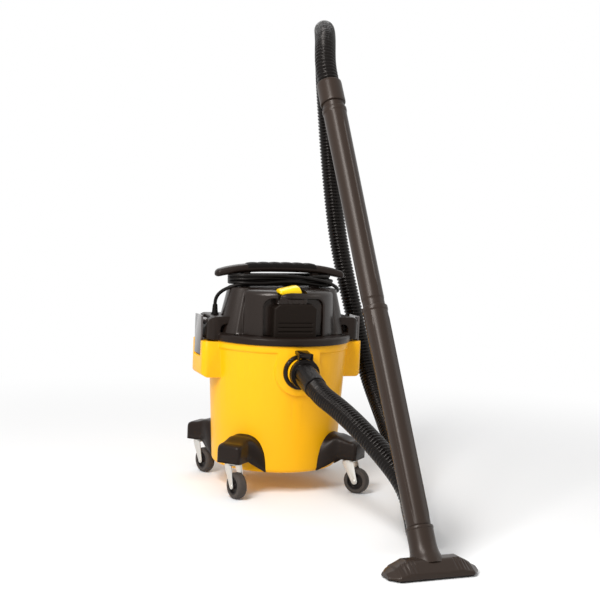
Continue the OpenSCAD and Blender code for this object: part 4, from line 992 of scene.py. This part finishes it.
class SHOPVAC_OT_nozzle(bpy.types.Operator):
    """Floor nozzle: a hollow body with a sloping ribbed face, under a neck that flares into it"""
    bl_idname = "shopvac.nozzle"
    bl_label = "Nozzle"

    def body(self):
        """The body: a bow in each upright section, pulled in and lowered towards both ends."""
        ahead = unit(WAND_DOWN * (1, 1, 0))
        across = np.array([-ahead[1], ahead[0], 0.0])
        foot = WAND_RIM + WAND_DOWN * (WAND_RIM[2] - NOZZLE_AXIS_Z * MM) / -WAND_DOWN[2]
        edge = foot + NOZZLE_TOE * MM * ahead
        edge[2] = 0

        # u runs across; the bow runs from the front lower edge over the top to the back one
        half = NOZZLE_W / 2
        u = half * np.sin(np.linspace(-math.pi / 2, math.pi / 2, 181))[:, None]
        u = np.sign(u) * np.minimum(np.abs(u), half - 0.02)
        bow = filleted([(2, 3.2), (0, 4.5), (0.6, 13), (19, 28), (23, 30), (43, 30), (51, 26),
                        (57, 14), (58, 4.5), (56, 3.2)], [0, 1, 3, 4, 3, 4, 5, 4, 1, 0], 7)
        f, z = bow[:, 0][None, :], bow[:, 1][None, :]
        out = np.abs(u)
        front = 19 * smoothstep(half - 18, half + 4, out)
        back = NOZZLE_D - 15 * smoothstep(half - 14, half + 3, out)
        fall = 1 - 0.62 * np.clip((out - 50) / (half - 50), 0, 1) ** 0.9 \
            - 0.1 * smoothstep(69, 70.5, out)
        # ribs: a cosine across, kept to the upper part of the slope and to both ends of it
        rib = (0.5 - 0.5 * np.cos(2 * math.pi * u / 7)) * smoothstep(33, 36, out) \
            * smoothstep(66, 63, out)
        rib = rib * smoothstep(2, 6, f) * smoothstep(25, 21, f) * (z > 6)
        tall = (3.2 + (z - 3.2) * fall - 1.3 * rib)[..., None]
        deep = (front + f / NOZZLE_D * (back - front) + 0.9 * rib)[..., None]
        grid = edge + MM * (u[..., None] * across - deep * ahead + tall * np.array([0, 0, 1.0]))
        return skin("nozzle_body", grid, wrap_cols=False, sharp=42, flip=True)

    def neck(self):
        """The neck: a socket for the wand that flares downwards, cut level inside the body."""
        profile = filleted([(20.7, 0), (24.1, 0), (24.4, 4.2), (23.5, 5.4), (23.5, 34), (25, 46),
                            (30, 58), (32, 66), (18.4, 66), (18.4, 44.4), (20.7, 44.2)],
                           [0, 0.7, 0.7, 0.6, 8, 9, 8, 0, 0, 0, 0], 6) * MM
        neck = revolve("nozzle_neck", profile, WAND_RIM + NECK_RIM_S * MM * WAND_DOWN, WAND_DOWN,
                       sharp=50)
        co = points_of(neck)
        co[:, 2] = np.maximum(co[:, 2], NECK_FOOT_Z * MM)
        neck.data.vertices.foreach_set("co", co.ravel())
        neck.data.update()
        return neck

    def execute(self, context):
        shell = walled(self.body(), NOZZLE_WALL)
        neck = self.neck()
        stand_for(shell, "floor_nozzle", "floor_nozzle")
        paint(neck, "extruded_wand_pp")
        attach(neck, "floor_nozzle")
        return {"FINISHED"}


class SHOPVAC_OT_mouldings(bpy.types.Operator):
    """Finishes of the solid mouldings, with their edges rounded"""
    bl_idname = "shopvac.mouldings"
    bl_label = "Mouldings"

    def execute(self, context):
        nodes = frame["nodes"]
        for node in [n for n, o in nodes.items() if not o.hide_render and not o.modifiers]:
            if node == "filter":            # its pleats are finer than a rounded edge
                paint(nodes[node], NODE_FINISH[node])
            else:
                soften(node, 0.6)
        return {"FINISHED"}


class SHOPVAC_PT_panel(bpy.types.Panel):
    """Everything this add-on makes, in the order it is made"""
    bl_label = "Shop vacuum"
    bl_idname = "SHOPVAC_PT_panel"
    bl_space_type = "VIEW_3D"
    bl_region_type = "UI"
    bl_category = "Shop vacuum"

    def draw(self, context):
        for group in (context.scene.shop_vac_sizes, context.scene.shop_vac_stage):
            box = self.layout.box()
            for name in group.__annotations__:
                box.prop(group, name)
        for operator in OPERATORS:
            self.layout.operator(operator.bl_idname)


OPERATORS = (SHOPVAC_OT_stage, SHOPVAC_OT_hose, SHOPVAC_OT_power_cord, SHOPVAC_OT_feet,
             SHOPVAC_OT_casters, SHOPVAC_OT_motor_cover, SHOPVAC_OT_front_panel,
             SHOPVAC_OT_switch, SHOPVAC_OT_handle, SHOPVAC_OT_wands, SHOPVAC_OT_nozzle,
             SHOPVAC_OT_mouldings)
CLASSES = (ShopVacSizes, ShopVacStage, *OPERATORS, SHOPVAC_PT_panel)


def register():
    """Makes the classes and the scene's settings known."""
    for item in CLASSES:
        bpy.utils.register_class(item)
    bpy.types.Scene.shop_vac_sizes = PointerProperty(type=ShopVacSizes)
    bpy.types.Scene.shop_vac_stage = PointerProperty(type=ShopVacStage)


def unregister():
    """Takes them away again."""
    del bpy.types.Scene.shop_vac_sizes
    del bpy.types.Scene.shop_vac_stage
    for item in reversed(CLASSES):
        bpy.utils.unregister_class(item)


def main():
    """Makes the vacuum."""
    register()
    for operator in OPERATORS:
        group, name = operator.bl_idname.split(".")
        getattr(getattr(bpy.ops, group), name)()


if __name__ == "__main__":
    main()
